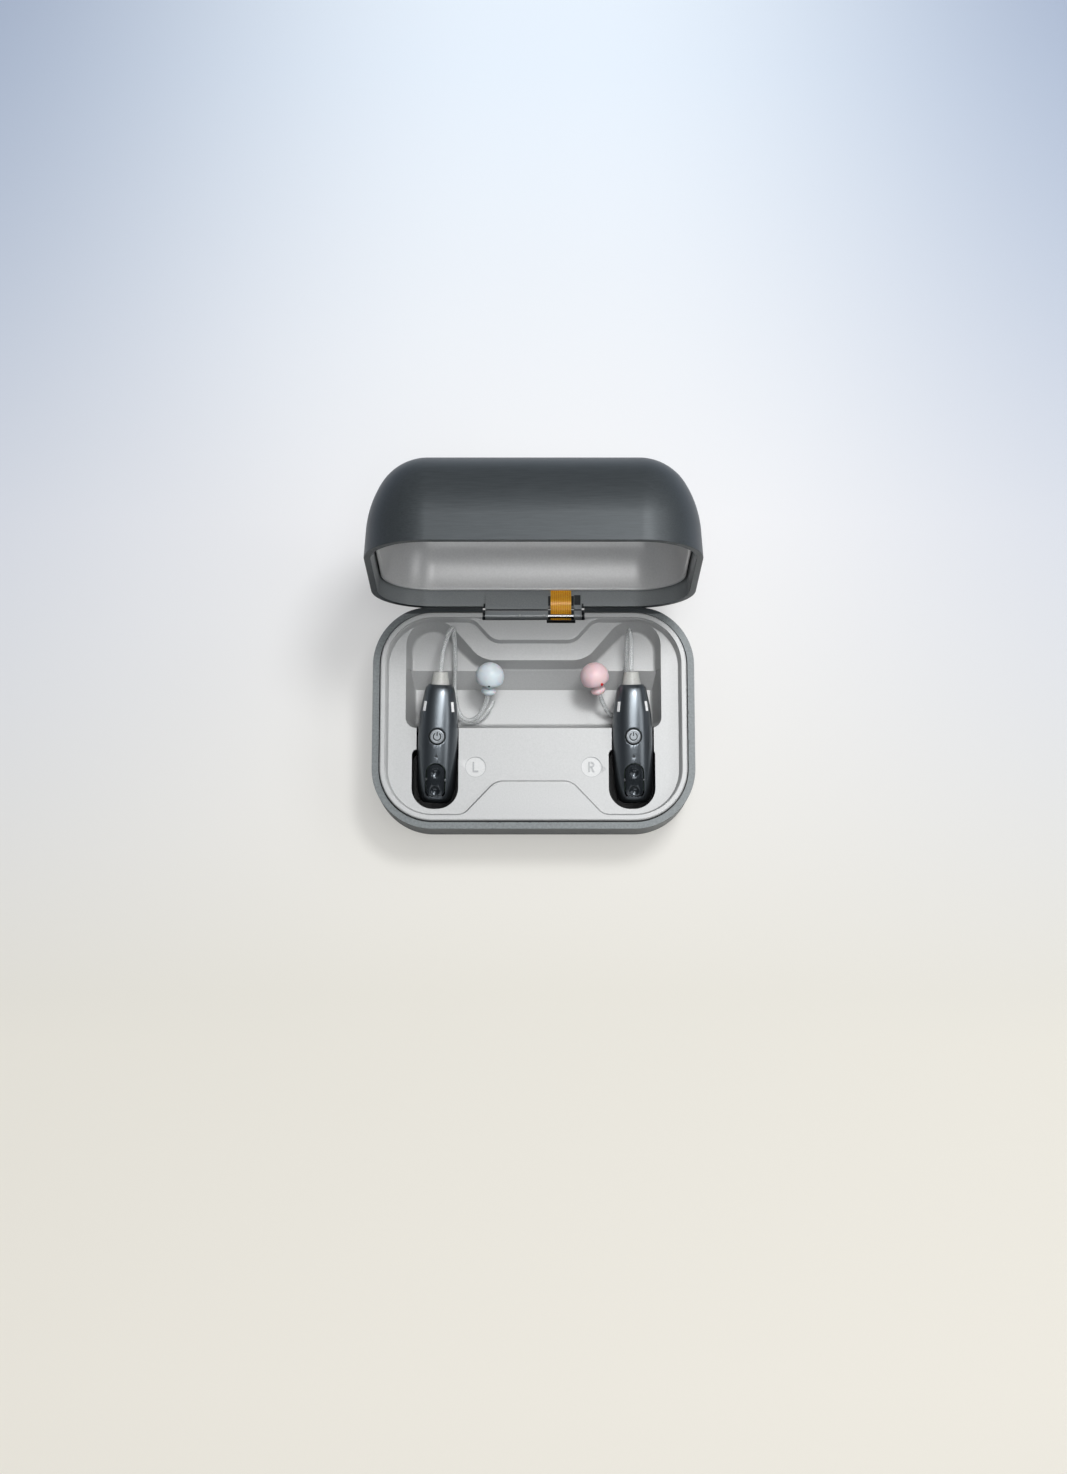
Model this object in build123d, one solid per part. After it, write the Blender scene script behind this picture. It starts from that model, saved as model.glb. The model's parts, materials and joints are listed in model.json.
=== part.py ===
from build123d import *
import os
from math import cos, radians, sin, sqrt, tan

# Charging case for two behind-the-ear hearing aids, shown open with both aids in their wells.
# Millimetres. X to the right, Y to the back (the hinge side), Z up.
# The origin is at the middle of the flat underside.

# Case shells
CASE_WIDTH = 90.0
CASE_DEPTH = 63.5
CORNER_RADIUS = 17.0
WALL = 1.9
RIM_HEIGHT = 20.0
BASE_DRAFT = 1.5
BASE_EDGE_RADIUS = 8.0
LID_HEIGHT = 27.6
LID_DRAFT = 3.7
LID_SIDE_RADIUS = 29.8
LID_SHOULDER_ANGLE = 29.75
CROWN_CORNER_RADIUS = 0.1
PARTING_GAP = 0.15

# Hinge
HINGE_INSET = 2.3
HINGE_DROP = 2.75
LID_OPEN_ANGLE = 92.1
PIN_RADIUS = 0.6
PIN_SEAT_CLEARANCE = 0.02
BARREL_CLEARANCE = 0.05
BARREL_RADIUS = 1.25
ARM_WIDTH = 27.2
ARM_REACH = 2.85
ARM_SIDE_GAP = 0.3
ARM_FRONT_GAP = 0.25
ARM_FLOOR_GAP = 0.4
PIN_SEAT_LENGTH = 3.6
PIN_END_GAP = 0.3
FLEX_SLOT_LEFT = 4.1
FLEX_SLOT_RIGHT = 11.4
SLOT_WEB = 0.75
SLOT_WEB_LEAD = 0.55

# Orange flexible cable
FLEX_WIDTH = 5.8
FLEX_THICKNESS = 0.15
FLEX_WALL_GAP = 0.15
FLEX_BEND = 0.5
FLEX_ON_BOARD = 2.6
FLEX_LAP = 1.2

# Inner tray
TRAY_THICKNESS = 1.2
TRAY_GAP = 0.3
LEDGE_WIDTH = 0.9
LEDGE_HEIGHT = 1.5
LIP_HEIGHT = 1.2
LIP_WIDTH = 1.6
LIP_ROUNDING = 0.4
LIP_DRAFT = 5.0
DECK_DEPTH = 1.8
DECK_DRAFT = 20.0
BACK_FLOOR_DEPTH = 6.0
TROUGH_DEPTH = 10.0
POCKET_DRAFT = 15.0
FLOOR_ROUNDING = 0.9

# Lands and tube pocket, seen from above
FRONT_LAND_Y = 13.25 - CASE_DEPTH / 2
FRONT_LAND_HALF_WIDTH = 10.4
FRONT_LAND_SPREAD = 8.9
BACK_LAND_Y = CASE_DEPTH / 2 - 9.85
BACK_LAND_HALF_WIDTH = 11.3
BACK_LAND_SPREAD = 5.4
LAND_ROUNDING = 4.5
POCKET_SIDE_X = CASE_WIDTH / 2 - 9.2
POCKET_BACK_Y = CASE_DEPTH / 2 - 4.0
POCKET_WAIST_Y = POCKET_BACK_Y - 11.3
POCKET_FRONT_Y = -3.0
# Corners of the pocket's right half, from the waist round to the front: x, y, rounding
POCKET_MOUTH = [
    (POCKET_SIDE_X - 21.2, POCKET_WAIST_Y, 8.0),
    (POCKET_SIDE_X - 11.55, POCKET_BACK_Y, 7.0),
    (POCKET_SIDE_X, POCKET_BACK_Y, 7.0),
    (POCKET_SIDE_X, POCKET_FRONT_Y, 3.0),
]
POCKET_FLOOR = [
    (POCKET_SIDE_X - 20.6, POCKET_WAIST_Y - 1.8, 8.0),
    (POCKET_SIDE_X - 9.7, POCKET_BACK_Y - 2.25, 5.0),
    (POCKET_SIDE_X - 1.45, POCKET_BACK_Y - 2.25, 6.0),
    (POCKET_SIDE_X - 1.45, POCKET_FRONT_Y + 1.1, 2.5),
]
SLOPE_BACK_Y = POCKET_WAIST_Y - 2.15
SLOPE_FRONT_Y = SLOPE_BACK_Y - 4.7

# Left and right marks on the deck
MARK_X = CASE_WIDTH / 2 - 28.85
MARK_Y = -14.05
MARK_RADIUS = 2.8
MARK_RIM = 0.25
MARK_RISE = 0.2
LETTER_HEIGHT = 2.9
LETTER_STROKE = 0.45
L_WIDTH = 0.55 * LETTER_HEIGHT
R_WIDTH = 0.6 * LETTER_HEIGHT
R_BOWL_HEIGHT = 0.56 * LETTER_HEIGHT

# Black wells
WELL_X = CASE_WIDTH / 2 - 17.55
WELL_HALF_WIDTH = 6.5
WELL_FRONT_Y = -25.9
WELL_NECK_Y = -9.0
NECK_HALF_WIDTH = 5.9
LEFT_NECK_X = 0.65 - WELL_X
RIGHT_NECK_X = WELL_X + 0.3
WELL_ROUNDING = 6.0
NECK_ROUNDING = 1.5
WELL_WALL = 1.0
WELL_FLANGE = 1.2
WELL_FLANGE_HEIGHT = 1.0
AID_FLOOR_GAP = 0.3

# Hearing aids. Sections run from the lower end up: place, width, belly and spine heights from the axis.
LEFT_AID_X = -WELL_X - 0.05
RIGHT_AID_X = WELL_X + 0.7
AID_Y = -23.0
AID_AXIS_DROP = 7.5
AID_TILT = 14.0
LEFT_AID_TURN = -2.6
RIGHT_AID_TURN = 1.4
AID_SECTIONS = [
    (0.0, 6.4, -3.6, 3.0),
    (1.2, 8.4, -5.0, 4.3),
    (4.5, 10.2, -5.9, 5.3),
    (11.0, 11.1, -6.2, 6.0),
    (18.0, 11.3, -6.1, 6.3),
    (25.0, 10.5, -5.6, 5.9),
    (30.0, 8.9, -4.7, 5.1),
    (32.3, 7.8, -3.9, 4.3),
    (33.0, 6.8, -3.3, 3.7),
]
SECTION_ROUNDING = 0.42
AID_WALL = 1.1
AID_SPLIT = 1.6

# Power button
POWER_AT = 18.7
POWER_DISC_RADIUS = 1.95
POWER_COLLAR_RADIUS = 2.25
POWER_HOLE_RADIUS = 2.42
POWER_PROUD = 0.15
POWER_COLLAR_BELOW = 0.35
POWER_DEPTH = 1.6
POWER_TRAVEL = 0.3

# Volume rocker
ROCKER_FROM = 1.9
ROCKER_TO = 11.1
ROCKER_WIDTH = 5.2
ROCKER_GAP = 0.25
ROCKER_PROUD = 0.3
ROCKER_THICKNESS = 1.7
ROCKER_TILT = 4.0
ROCKER_AXIS_DEPTH = 2.3
ROCKER_PIN_RADIUS = 0.45
ROCKER_PIN_LENGTH = 6.6
ROCKER_EAR_RADIUS = 0.95
ROCKER_LUG = 0.7
DIMPLE_RADIUS = 1.1
DIMPLE_DEPTH = 0.3
DIMPLE_PLACES = [3.3, 8.5]

# Small details of the aids
PINHOLE_AT = 13.1
PINHOLE_RADIUS = 0.3
MIC_AT = 27.0
MIC_OUT = 3.9
MIC_LENGTH = 2.7
MIC_WIDTH = 0.9
MIC_LEAN = 48.0
NOZZLE_RADIUS = 2.6
NOZZLE_TIP_RADIUS = 1.95
NOZZLE_LENGTH = 3.5
NOZZLE_RISE = 0.8
TUBE_RADIUS = 0.65
TUBE_SEAT = 2.0
NOZZLE_RUN = 2.6
TAIL_RADIUS = 0.45
DOME_RADIUS = 4.0
DOME_WALL = 0.55
DOME_SKIRT = 1.7
SLEEVE_RADIUS = 1.2
SLEEVE_COLLAR_RADIUS = 2.1
SLEEVE_LENGTH = 5.2
SLEEVE_COLLAR_LENGTH = 2.0
COLLAR_ROUNDING = 0.6

# Inside the aids
CONTACT_PLACES = [5.5, 9.5]
CONTACT_RADIUS = 0.9
CONTACT_DEPTH = 1.0
CONTACT_FACE = -6.2
AID_BOARD = (6.6, 22.0, 0.8)
AID_BOARD_FROM = 3.2
AID_BOARD_HEIGHT = -0.4
AID_CELL = (6.4, 12.0, 3.6)
AID_CELL_FROM = 10.8
RECEIVER = (4.6, 5.0, 2.7)
RECEIVER_FROM = 24.2
SWITCH_SIDE = 2.0
SWITCH_GAP = 0.15
ROCKER_SWITCH_PLACES = [4.2, 9.5]

# Charging contacts of the case
CHARGE_PIN_RADIUS = 0.6
CHARGE_PIN_CLEARANCE = 0.05
CHARGE_PIN_GAP = 0.05
CONTACT_BOARD = (9.0, 13.0, 0.8)
CONTACT_BOARD_FROM = 2.5
LEAD_WIDTH = 3.0
LEAD_THICKNESS = 0.2
LEAD_GAP = 0.05
LEAD_LAP = 2.0
LEAD_FOLD = 1.5

# Inside the base
CELL_HEADROOM = 0.9
CELL_SIDE_GAP = 2.45
CELL_SIZE = (
    2 * (WELL_X - WELL_HALF_WIDTH - CELL_SIDE_GAP), 25.0,
    RIM_HEIGHT - TROUGH_DEPTH - TRAY_THICKNESS - WALL - CELL_HEADROOM,
)
CELL_ROUNDING = 1.2
CELL_Y = -8.0
CELL_FENCE = 1.0
CELL_FENCE_HEIGHT = 3.0
CELL_FENCE_GAP = 0.3
BOARD_HALF_WIDTH = CASE_WIDTH / 2 - 16.0
BOARD_FRONT_Y = 11.5
BOARD_BACK_Y = 27.6
BOARD_BELOW_TROUGH = 1.8
BOARD_HEIGHT = RIM_HEIGHT - TROUGH_DEPTH - TRAY_THICKNESS - BOARD_BELOW_TROUGH
BOARD_THICKNESS = 1.0
# Parts on the main board: centre x and y, width, depth, height
BOARD_PARTS = [
    (-14.0, 20.0, 6.0, 6.0, 1.0),
    (-5.5, 18.0, 4.0, 4.0, 1.8),
    (13.0, 17.5, 4.0, 3.0, 1.2),
    (-20.0, 17.5, 2.0, 3.2, 1.2),
    (7.5, 15.6, 7.0, 2.4, 1.2),
    (18.5, 19.0, 2.0, 3.2, 1.2),
]
BOARD_SCREW_X = BOARD_HALF_WIDTH - 5.0
BOARD_SCREW_INSET = 2.6
BOSS_RADIUS = 2.2
SCREW_RADIUS = 0.8
SCREW_HEAD_RADIUS = 1.5
SCREW_HEAD_HEIGHT = 0.8
SCREW_LENGTH = 4.0
SCREW_FIT = 0.03
USB_WIDTH = 8.94
USB_HEIGHT = 3.26
USB_LENGTH = 7.3
USB_SHELL = 0.3
USB_CUT_GAP = 0.15
USB_RECESS = 0.4
USB_BACK_WALL = 1.0
USB_TONGUE_WIDTH = 5.96
USB_TONGUE_THICKNESS = 0.7
USB_TONGUE_SETBACK = 0.8
MAGNET_X = 8.5
MAGNET_RADIUS = 2.0
MAGNET_THICKNESS = 2.0
MAGNET_RING = 0.8
MAGNET_FIT = 0.05
MAGNET_FROM_FRONT = 6.4

# Inside the lid
LINER_GAP = 0.5
LINER_THICKNESS = 1.0
LINER_RECESS = 4.4
LINER_HEADROOM = 3.6
POST_X = 25.0
POST_Y = 11.0
POST_RADIUS = 1.8
STATUS_BOARD = (40.0, 18.0, 0.8)
LIGHT_COUNT = 4
LIGHT_PITCH = 3.2
LIGHT_SIDE = 1.2
LIGHT_HEIGHT = 0.7
LIGHT_Y = -6.0
WINDOW_WIDTH = 12.6
WINDOW_DEPTH = 2.4
WINDOW_FLANGE = 1.0
WINDOW_FLANGE_HEIGHT = 0.7
LID_MAGNET_HEIGHT = 7.5
LID_MAGNET_DEPTH = 1.1

HINGE_Y = CASE_DEPTH / 2 - HINGE_INSET
HINGE_Z = RIM_HEIGHT - HINGE_DROP
LID_RIM_Z = RIM_HEIGHT + PARTING_GAP
DECK_Z = RIM_HEIGHT - DECK_DEPTH
TRAY_INSET = WALL + TRAY_GAP
BASIN_INSET = TRAY_INSET + LIP_WIDTH
ARM_HALF_WIDTH = ARM_WIDTH / 2
NOTCH_HALF_WIDTH = ARM_HALF_WIDTH + ARM_SIDE_GAP
NOTCH_FLOOR_Z = HINGE_Z - BARREL_RADIUS - ARM_FLOOR_GAP
LINER_TOP_Z = LID_RIM_Z + LID_HEIGHT - WALL - LINER_HEADROOM
AID_LENGTH = AID_SECTIONS[-1][0]
AIDS = {"left": (LEFT_AID_X, LEFT_AID_TURN), "right": (RIGHT_AID_X, RIGHT_AID_TURN)}
WELLS = {"left": (-WELL_X, LEFT_NECK_X), "right": (WELL_X, RIGHT_NECK_X)}
ARC_SHARE = 0.45
FAR = 200.0


def slab(x0, x1, y0, y1, z0, z1):
    """A block between two corners."""
    middle = ((x0 + x1) / 2, (y0 + y1) / 2, (z0 + z1) / 2)
    return Pos(*middle) * Box(x1 - x0, y1 - y0, z1 - z0)


def bar(radius, x0, x1, y, z):
    """A round bar along X."""
    return Pos((x0 + x1) / 2, y, z) * Rot(0, 90, 0) * Cylinder(radius, x1 - x0)


def case_outline(inset):
    """The case seen from above at its rim, moved in by inset."""
    return RectangleRounded(
        CASE_WIDTH - 2 * inset, CASE_DEPTH - 2 * inset, CORNER_RADIUS - inset
    )


def side_face(height, draft, arcs, inset, reach):
    """Half a case section: a drafted side that turns over into a flat end through the given arcs.

    x is measured out from the corner centre, y away from the rim. The section runs in to x = -reach.
    """
    angle = radians(draft)
    climb = 0.0
    for radius, turn in arcs:
        climb += radius * (sin(radians(turn)) - sin(angle))
        angle = radians(turn)
    angle = radians(draft)
    straight = height - climb
    inwards, up = straight * tan(angle), straight
    start = (CORNER_RADIUS - inset / cos(angle), 0.0)
    end = (CORNER_RADIUS - inwards - inset * cos(angle), up - inset * sin(angle))
    line = Line(start, end)
    for radius, turn in arcs:
        centre_in = inwards + radius * cos(angle)
        centre_up = up - radius * sin(angle)
        stop = radians(turn)
        on_arc = [
            (
                CORNER_RADIUS - centre_in + (radius - inset) * cos(a),
                centre_up + (radius - inset) * sin(a),
            )
            for a in (angle, (angle + stop) / 2, stop)
        ]
        line += ThreePointArc(*on_arc)
        inwards = centre_in - radius * cos(stop)
        up = centre_up + radius * sin(stop)
        angle = stop
        end = on_arc[-1]
    return make_face(line + Polyline(end, (-reach, end[1]), (-reach, 0), start))


def domed_block(height, draft, arcs, inset):
    """A solid with the case's plan, standing on z = 0, closed by a domed end."""
    centre_x = CASE_WIDTH / 2 - CORNER_RADIUS
    centre_y = CASE_DEPTH / 2 - CORNER_RADIUS
    corner_face = Plane.XZ * side_face(height, draft, arcs, inset, 0)
    end_face = Plane.XZ * side_face(height, draft, arcs, inset, centre_x)
    back_face = Plane.YZ * side_face(height, draft, arcs, inset, centre_y)
    corner = Pos(centre_x, centre_y, 0) * revolve(corner_face, Axis.Z, 90)
    end = Pos(centre_x, 0, 0) * extrude(end_face, centre_y, both=True)
    back = Pos(0, centre_y, 0) * extrude(back_face, centre_x, both=True)
    pair = [corner, mirror(corner, Plane.YZ)]
    corners = pair + [mirror(piece, Plane.XZ) for piece in pair]
    sides = [mirror(end, Plane.YZ), back, mirror(back, Plane.XZ)]
    return end.fuse(*sides, *corners).clean()


def lid_arcs(height):
    """The two arcs of the lid's side. The upper one ends where the crown's corners begin."""
    draft, shoulder = radians(LID_DRAFT), radians(LID_SHOULDER_ANGLE)
    side_in = LID_SIDE_RADIUS * (cos(draft) - cos(shoulder))
    side_up = LID_SIDE_RADIUS * (sin(shoulder) - sin(draft))
    left = CORNER_RADIUS - CROWN_CORNER_RADIUS - side_in - (height - side_up) * tan(draft)
    crown = left / (cos(shoulder) - (1 - sin(shoulder)) * tan(draft))
    return [(LID_SIDE_RADIUS, LID_SHOULDER_ANGLE), (crown, 90.0)]


def lid_block(inset, lowered=0.0):
    """The lid's outer form, closed, moved in by inset, with its crown lowered."""
    height = LID_HEIGHT - lowered
    block = domed_block(height, LID_DRAFT, lid_arcs(height), inset)
    return Pos(0, 0, LID_RIM_Z) * block


def base_block(inset):
    """The base's outer form, moved in by inset."""
    arcs = [(BASE_EDGE_RADIUS, 90.0)]
    block = domed_block(RIM_HEIGHT, BASE_DRAFT, arcs, inset)
    return Pos(0, 0, RIM_HEIGHT) * mirror(block, Plane.XY)


def open_lid(shape):
    """Turn a piece of the closed lid back to its stop."""
    turn = Pos(0, HINGE_Y, HINGE_Z) * Rot(-LID_OPEN_ANGLE, 0, 0) * Pos(0, -HINGE_Y, -HINGE_Z)
    return turn * shape


def lid_point(y, z):
    """Where a point of the closed lid lies once the lid is open, as (y, z)."""
    angle = radians(LID_OPEN_ANGLE)
    across, up = y - HINGE_Y, z - HINGE_Z
    return (
        HINGE_Y + across * cos(angle) + up * sin(angle),
        HINGE_Z - across * sin(angle) + up * cos(angle),
    )


def base_shell():
    """The bowl: walls, tray ledge, pin seats, board bosses, cell fence and socket opening."""
    inner = base_block(WALL)
    bowl = base_block(0) - inner
    ledge_top = RIM_HEIGHT - TRAY_THICKNESS
    ledge_band = slab(-FAR, FAR, -FAR, FAR, ledge_top - LEDGE_HEIGHT, ledge_top)
    opening = raised(case_outline(WALL + LEDGE_WIDTH), 0, 2 * RIM_HEIGHT)
    bowl += (inner & ledge_band) - opening
    bowl += pin_seats() & base_block(WALL / 2)
    bowl += board_bosses()
    bowl += cell_fence()
    bowl -= notch(RIM_HEIGHT + 1)
    bowl -= rear_rounding()
    half = pin_half_length()
    bowl -= bar(PIN_RADIUS + PIN_SEAT_CLEARANCE, -half, half, HINGE_Y, HINGE_Z)
    return bowl - usb_opening()


def pin_half_length():
    return NOTCH_HALF_WIDTH + PIN_SEAT_LENGTH


def pin_seats():
    """Two seats behind the rear wall that hold the ends of the hinge pin."""
    radius = HINGE_DROP - TRAY_THICKNESS
    seats = []
    for side in (-1, 1):
        near, far = sorted((side * NOTCH_HALF_WIDTH, side * pin_half_length()))
        back = CASE_DEPTH / 2 - WALL / 2
        block = slab(near, far, HINGE_Y - radius, back, HINGE_Z - 2 * radius, HINGE_Z)
        seats.append(bar(radius, near, far, HINGE_Y, HINGE_Z) + block)
    return seats[0] + seats[1]


def pin_seat_room():
    """What the pin's seats need off the tray."""
    radius = HINGE_DROP - TRAY_THICKNESS + PARTING_GAP
    half = pin_half_length() + PARTING_GAP
    return slab(-half, half, HINGE_Y - radius, CASE_DEPTH / 2, 0, HINGE_Z + radius)


def notch(top):
    """The gap in the rear wall where the lid's arm swings."""
    front = HINGE_Y - BARREL_RADIUS - ARM_FRONT_GAP
    return slab(-NOTCH_HALF_WIDTH, NOTCH_HALF_WIDTH, front, CASE_DEPTH, NOTCH_FLOOR_Z, top)


def rear_rounding():
    """What the lid's rear rim needs off the base's rear rim to swing past it."""
    corner = slab(-FAR, FAR, HINGE_Y, CASE_DEPTH, HINGE_Z, RIM_HEIGHT + 1)
    return corner - bar(HINGE_DROP, -FAR, FAR, HINGE_Y, HINGE_Z)


def board_places():
    """Where the main board is screwed down."""
    return [
        (side * BOARD_SCREW_X, y)
        for side in (-1, 1)
        for y in (BOARD_FRONT_Y + BOARD_SCREW_INSET, BOARD_BACK_Y - BOARD_SCREW_INSET)
    ]


def board_bosses():
    """Posts on the floor that carry the main board, with blind holes for its screws."""
    inside = base_block(WALL / 2)
    bosses = None
    for x, y in board_places():
        post = Pos(x, y, BOARD_HEIGHT / 2) * Cylinder(BOSS_RADIUS, BOARD_HEIGHT)
        hole_depth = SCREW_LENGTH - BOARD_THICKNESS
        hole = Pos(x, y, BOARD_HEIGHT - hole_depth / 2)
        post = (post & inside) - hole * Cylinder(SCREW_RADIUS + SCREW_FIT, hole_depth)
        bosses = post if bosses is None else bosses + post
    return bosses


def cell_fence():
    """A low fence on the floor around the case's cell."""
    width, depth = CELL_SIZE[0] / 2 + CELL_FENCE_GAP, CELL_SIZE[1] / 2 + CELL_FENCE_GAP
    top = WALL + CELL_FENCE_HEIGHT
    outer = slab(
        -width - CELL_FENCE, width + CELL_FENCE,
        CELL_Y - depth - CELL_FENCE, CELL_Y + depth + CELL_FENCE, WALL / 2, top,
    )
    inner = slab(-width, width, CELL_Y - depth, CELL_Y + depth, 0, top + 1)
    return outer - inner


def usb_centre_z():
    return BOARD_HEIGHT + BOARD_THICKNESS + USB_HEIGHT / 2


def stadium(width, height):
    """An upright rounded slot, as a socket's mouth."""
    return RectangleRounded(width, height, height / 2 - 0.01)


def usb_opening():
    """The socket's opening in the rear wall."""
    mouth = stadium(USB_WIDTH + 2 * USB_CUT_GAP, USB_HEIGHT + 2 * USB_CUT_GAP)
    start = CASE_DEPTH / 2 - 2 * WALL
    return extrude(Plane((0, start, usb_centre_z()), (1, 0, 0), (0, 1, 0)) * mouth, 3 * WALL)


def usb_socket():
    """A metal shell with its contact tongue, flush with the wall but for a small recess."""
    back = CASE_DEPTH / 2 - USB_RECESS
    mouth = Plane((0, back, usb_centre_z()), (1, 0, 0), (0, -1, 0))
    shell = extrude(mouth * stadium(USB_WIDTH, USB_HEIGHT), USB_LENGTH)
    hollow = stadium(USB_WIDTH - 2 * USB_SHELL, USB_HEIGHT - 2 * USB_SHELL)
    shell -= extrude(mouth * hollow, USB_LENGTH - USB_BACK_WALL)
    half_width, half_height = USB_TONGUE_WIDTH / 2, USB_TONGUE_THICKNESS / 2
    tongue = slab(
        -half_width, half_width, back - USB_LENGTH + USB_BACK_WALL / 2, back - USB_TONGUE_SETBACK,
        usb_centre_z() - half_height, usb_centre_z() + half_height,
    )
    return shell + tongue


def land(y, half_width, spread):
    """A flat land that widens towards the lip and runs on under it."""
    run = CASE_DEPTH / 2 - BASIN_INSET - abs(y)
    share = (run + LIP_WIDTH) / run
    far_y = y + (run + LIP_WIDTH if y > 0 else -run - LIP_WIDTH)
    far_x = half_width + spread * share
    return Polygon((-half_width, y), (half_width, y), (far_x, far_y), (-far_x, far_y), align=None)


def basin_outline():
    """The deck's outline: the tray inside its lip, less the two lands."""
    outline = case_outline(BASIN_INSET)
    front = land(FRONT_LAND_Y, FRONT_LAND_HALF_WIDTH, FRONT_LAND_SPREAD)
    back = land(BACK_LAND_Y, BACK_LAND_HALF_WIDTH, BACK_LAND_SPREAD)
    outline = outline - front - back
    reach = CASE_WIDTH / 2 - CORNER_RADIUS - LIP_WIDTH
    sharp = [v for v in outline.vertices() if abs(v.X) < reach]
    return fillet(sharp, LAND_ROUNDING)


def pocket_outline(right):
    """The tube pocket at one level, with one arch over each aid."""
    corners = right + [(-x, y, r) for x, y, r in reversed(right)]
    outline = Polygon(*[(x, y) for x, y, _ in corners], align=None)
    for x, y, rounding in corners:
        corner = outline.vertices().sort_by_distance((x, y, 0))[0]
        outline = fillet(corner, rounding)
    return outline


def sunk(outline, top, depth, draft):
    """An outline cut down from a level, narrowing by its draft."""
    return extrude(Pos(0, 0, top) * outline, amount=depth, dir=(0, 0, -1), taper=draft)


def raised(outline, bottom, height):
    """A straight prism standing on a level."""
    return extrude(Pos(0, 0, bottom) * outline, amount=height, dir=(0, 0, 1))


def pocket_floor(lower):
    """What stays below the back floors and the slope, its faces moved down by lower."""
    rise = TROUGH_DEPTH - BACK_FLOOR_DEPTH
    run = SLOPE_BACK_Y - SLOPE_FRONT_Y
    slope_length = sqrt(rise * rise + run * run)
    shift = lower * (slope_length - run) / rise
    trough_z = RIM_HEIGHT - TROUGH_DEPTH - lower
    floor_z = RIM_HEIGHT - BACK_FLOOR_DEPTH - lower
    section = Polygon(
        (SLOPE_FRONT_Y + shift, trough_z), (SLOPE_BACK_Y + shift, floor_z),
        (CASE_DEPTH, floor_z), (CASE_DEPTH, -1), (SLOPE_FRONT_Y + shift, -1), align=None,
    )
    return extrude(Plane.YZ * section, CASE_WIDTH, both=True)


def round_floor(room):
    """Round the lower edges of a room cut into the tray."""
    return fillet(room.edges().group_by(Axis.Z)[0], FLOOR_ROUNDING)


def pocket_hollow(mouth):
    """The pocket's room: sloping walls down to the back floors and steeper ones down to the trough."""
    floor = Pos(0, 0, RIM_HEIGHT - BACK_FLOOR_DEPTH) * pocket_outline(POCKET_FLOOR)
    arches = round_floor(loft([Pos(0, 0, DECK_Z) * mouth, floor]))
    trough = round_floor(sunk(mouth, DECK_Z, TROUGH_DEPTH - DECK_DEPTH, POCKET_DRAFT))
    trough &= slab(-FAR, FAR, -FAR, SLOPE_BACK_Y, 0, FAR)
    return arches + (trough - pocket_floor(0))


def well_outline(side, grow):
    """A well from above, grown outwards. Its back end opens into the trough."""
    x, neck_x = WELLS[side]
    back = POCKET_FRONT_Y - TRAY_THICKNESS
    wide = WELL_HALF_WIDTH + grow
    front = WELL_FRONT_Y - grow
    length = WELL_NECK_Y - front + grow
    body = Pos(x, front + length / 2) * RectangleRounded(2 * wide, length, WELL_ROUNDING * 0.99)
    square = Pos(x, WELL_NECK_Y + grow - WELL_ROUNDING / 2) * Rectangle(2 * wide, WELL_ROUNDING)
    square = fillet(square.vertices().group_by(Axis.Y)[-1], NECK_ROUNDING)
    neck_front = WELL_NECK_Y - WELL_ROUNDING / 2
    neck = Pos(neck_x, (back + neck_front) / 2) * Rectangle(2 * (NECK_HALF_WIDTH + grow), back - neck_front)
    return body + square + neck


def below_aid_plane(height):
    """Everything below a plane that leans with the aids."""
    return well_frame(0) * Pos(0, 0, height) * slab(-FAR, FAR, -FAR, FAR, -FAR, 0)


def well_floor():
    """Height of the well's floor below the aid's axis."""
    return CONTACT_FACE - AID_FLOOR_GAP


def letter_l():
    """A plain raised L."""
    stem = Pos((LETTER_STROKE - L_WIDTH) / 2, 0) * Rectangle(LETTER_STROKE, LETTER_HEIGHT)
    foot = Pos(0, (LETTER_STROKE - LETTER_HEIGHT) / 2) * Rectangle(L_WIDTH, LETTER_STROKE)
    return stem + foot


def letter_r():
    """A plain raised R."""
    half, low, inside = R_WIDTH / 2, -LETTER_HEIGHT / 2, 2 * LETTER_STROKE
    stem = Pos(LETTER_STROKE / 2 - half, 0) * Rectangle(LETTER_STROKE, LETTER_HEIGHT)
    bowl = SlotOverall(2 * R_BOWL_HEIGHT, R_BOWL_HEIGHT)
    bowl -= SlotOverall(2 * R_BOWL_HEIGHT - inside, R_BOWL_HEIGHT - inside)
    bowl = Pos(half - R_BOWL_HEIGHT, (LETTER_HEIGHT - R_BOWL_HEIGHT) / 2) * bowl
    bowl -= Pos(-R_WIDTH, 0) * Rectangle(R_WIDTH, 2 * LETTER_HEIGHT)
    leg = Polygon(
        (-LETTER_STROKE / 2, 0), (LETTER_STROKE / 2, 0), (half, low), (half - LETTER_STROKE, low), align=None,
    )
    return stem + bowl + leg


def side_mark(x, letter):
    """A shallow round field in the deck with a raised letter."""
    place = Pos(x, MARK_Y, DECK_Z)
    field = place * Pos(0, 0, -MARK_RIM / 2) * Cylinder(MARK_RADIUS, MARK_RIM)
    character = extrude(place * Pos(0, 0, -MARK_RIM) * letter, amount=MARK_RISE, dir=(0, 0, 1))
    return field, character


def tray_rim():
    """The raised lip, with the flat it stands on."""
    bottom = RIM_HEIGHT - TRAY_THICKNESS
    rim = raised(case_outline(TRAY_INSET), bottom, TRAY_THICKNESS + LIP_HEIGHT)
    rim = fillet(rim.edges().group_by(Axis.Z)[-1], LIP_ROUNDING)
    mouth = case_outline(BASIN_INSET - LIP_ROUNDING / 2)
    return rim - sunk(mouth, RIM_HEIGHT + LIP_HEIGHT, LIP_HEIGHT, LIP_DRAFT)


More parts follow.
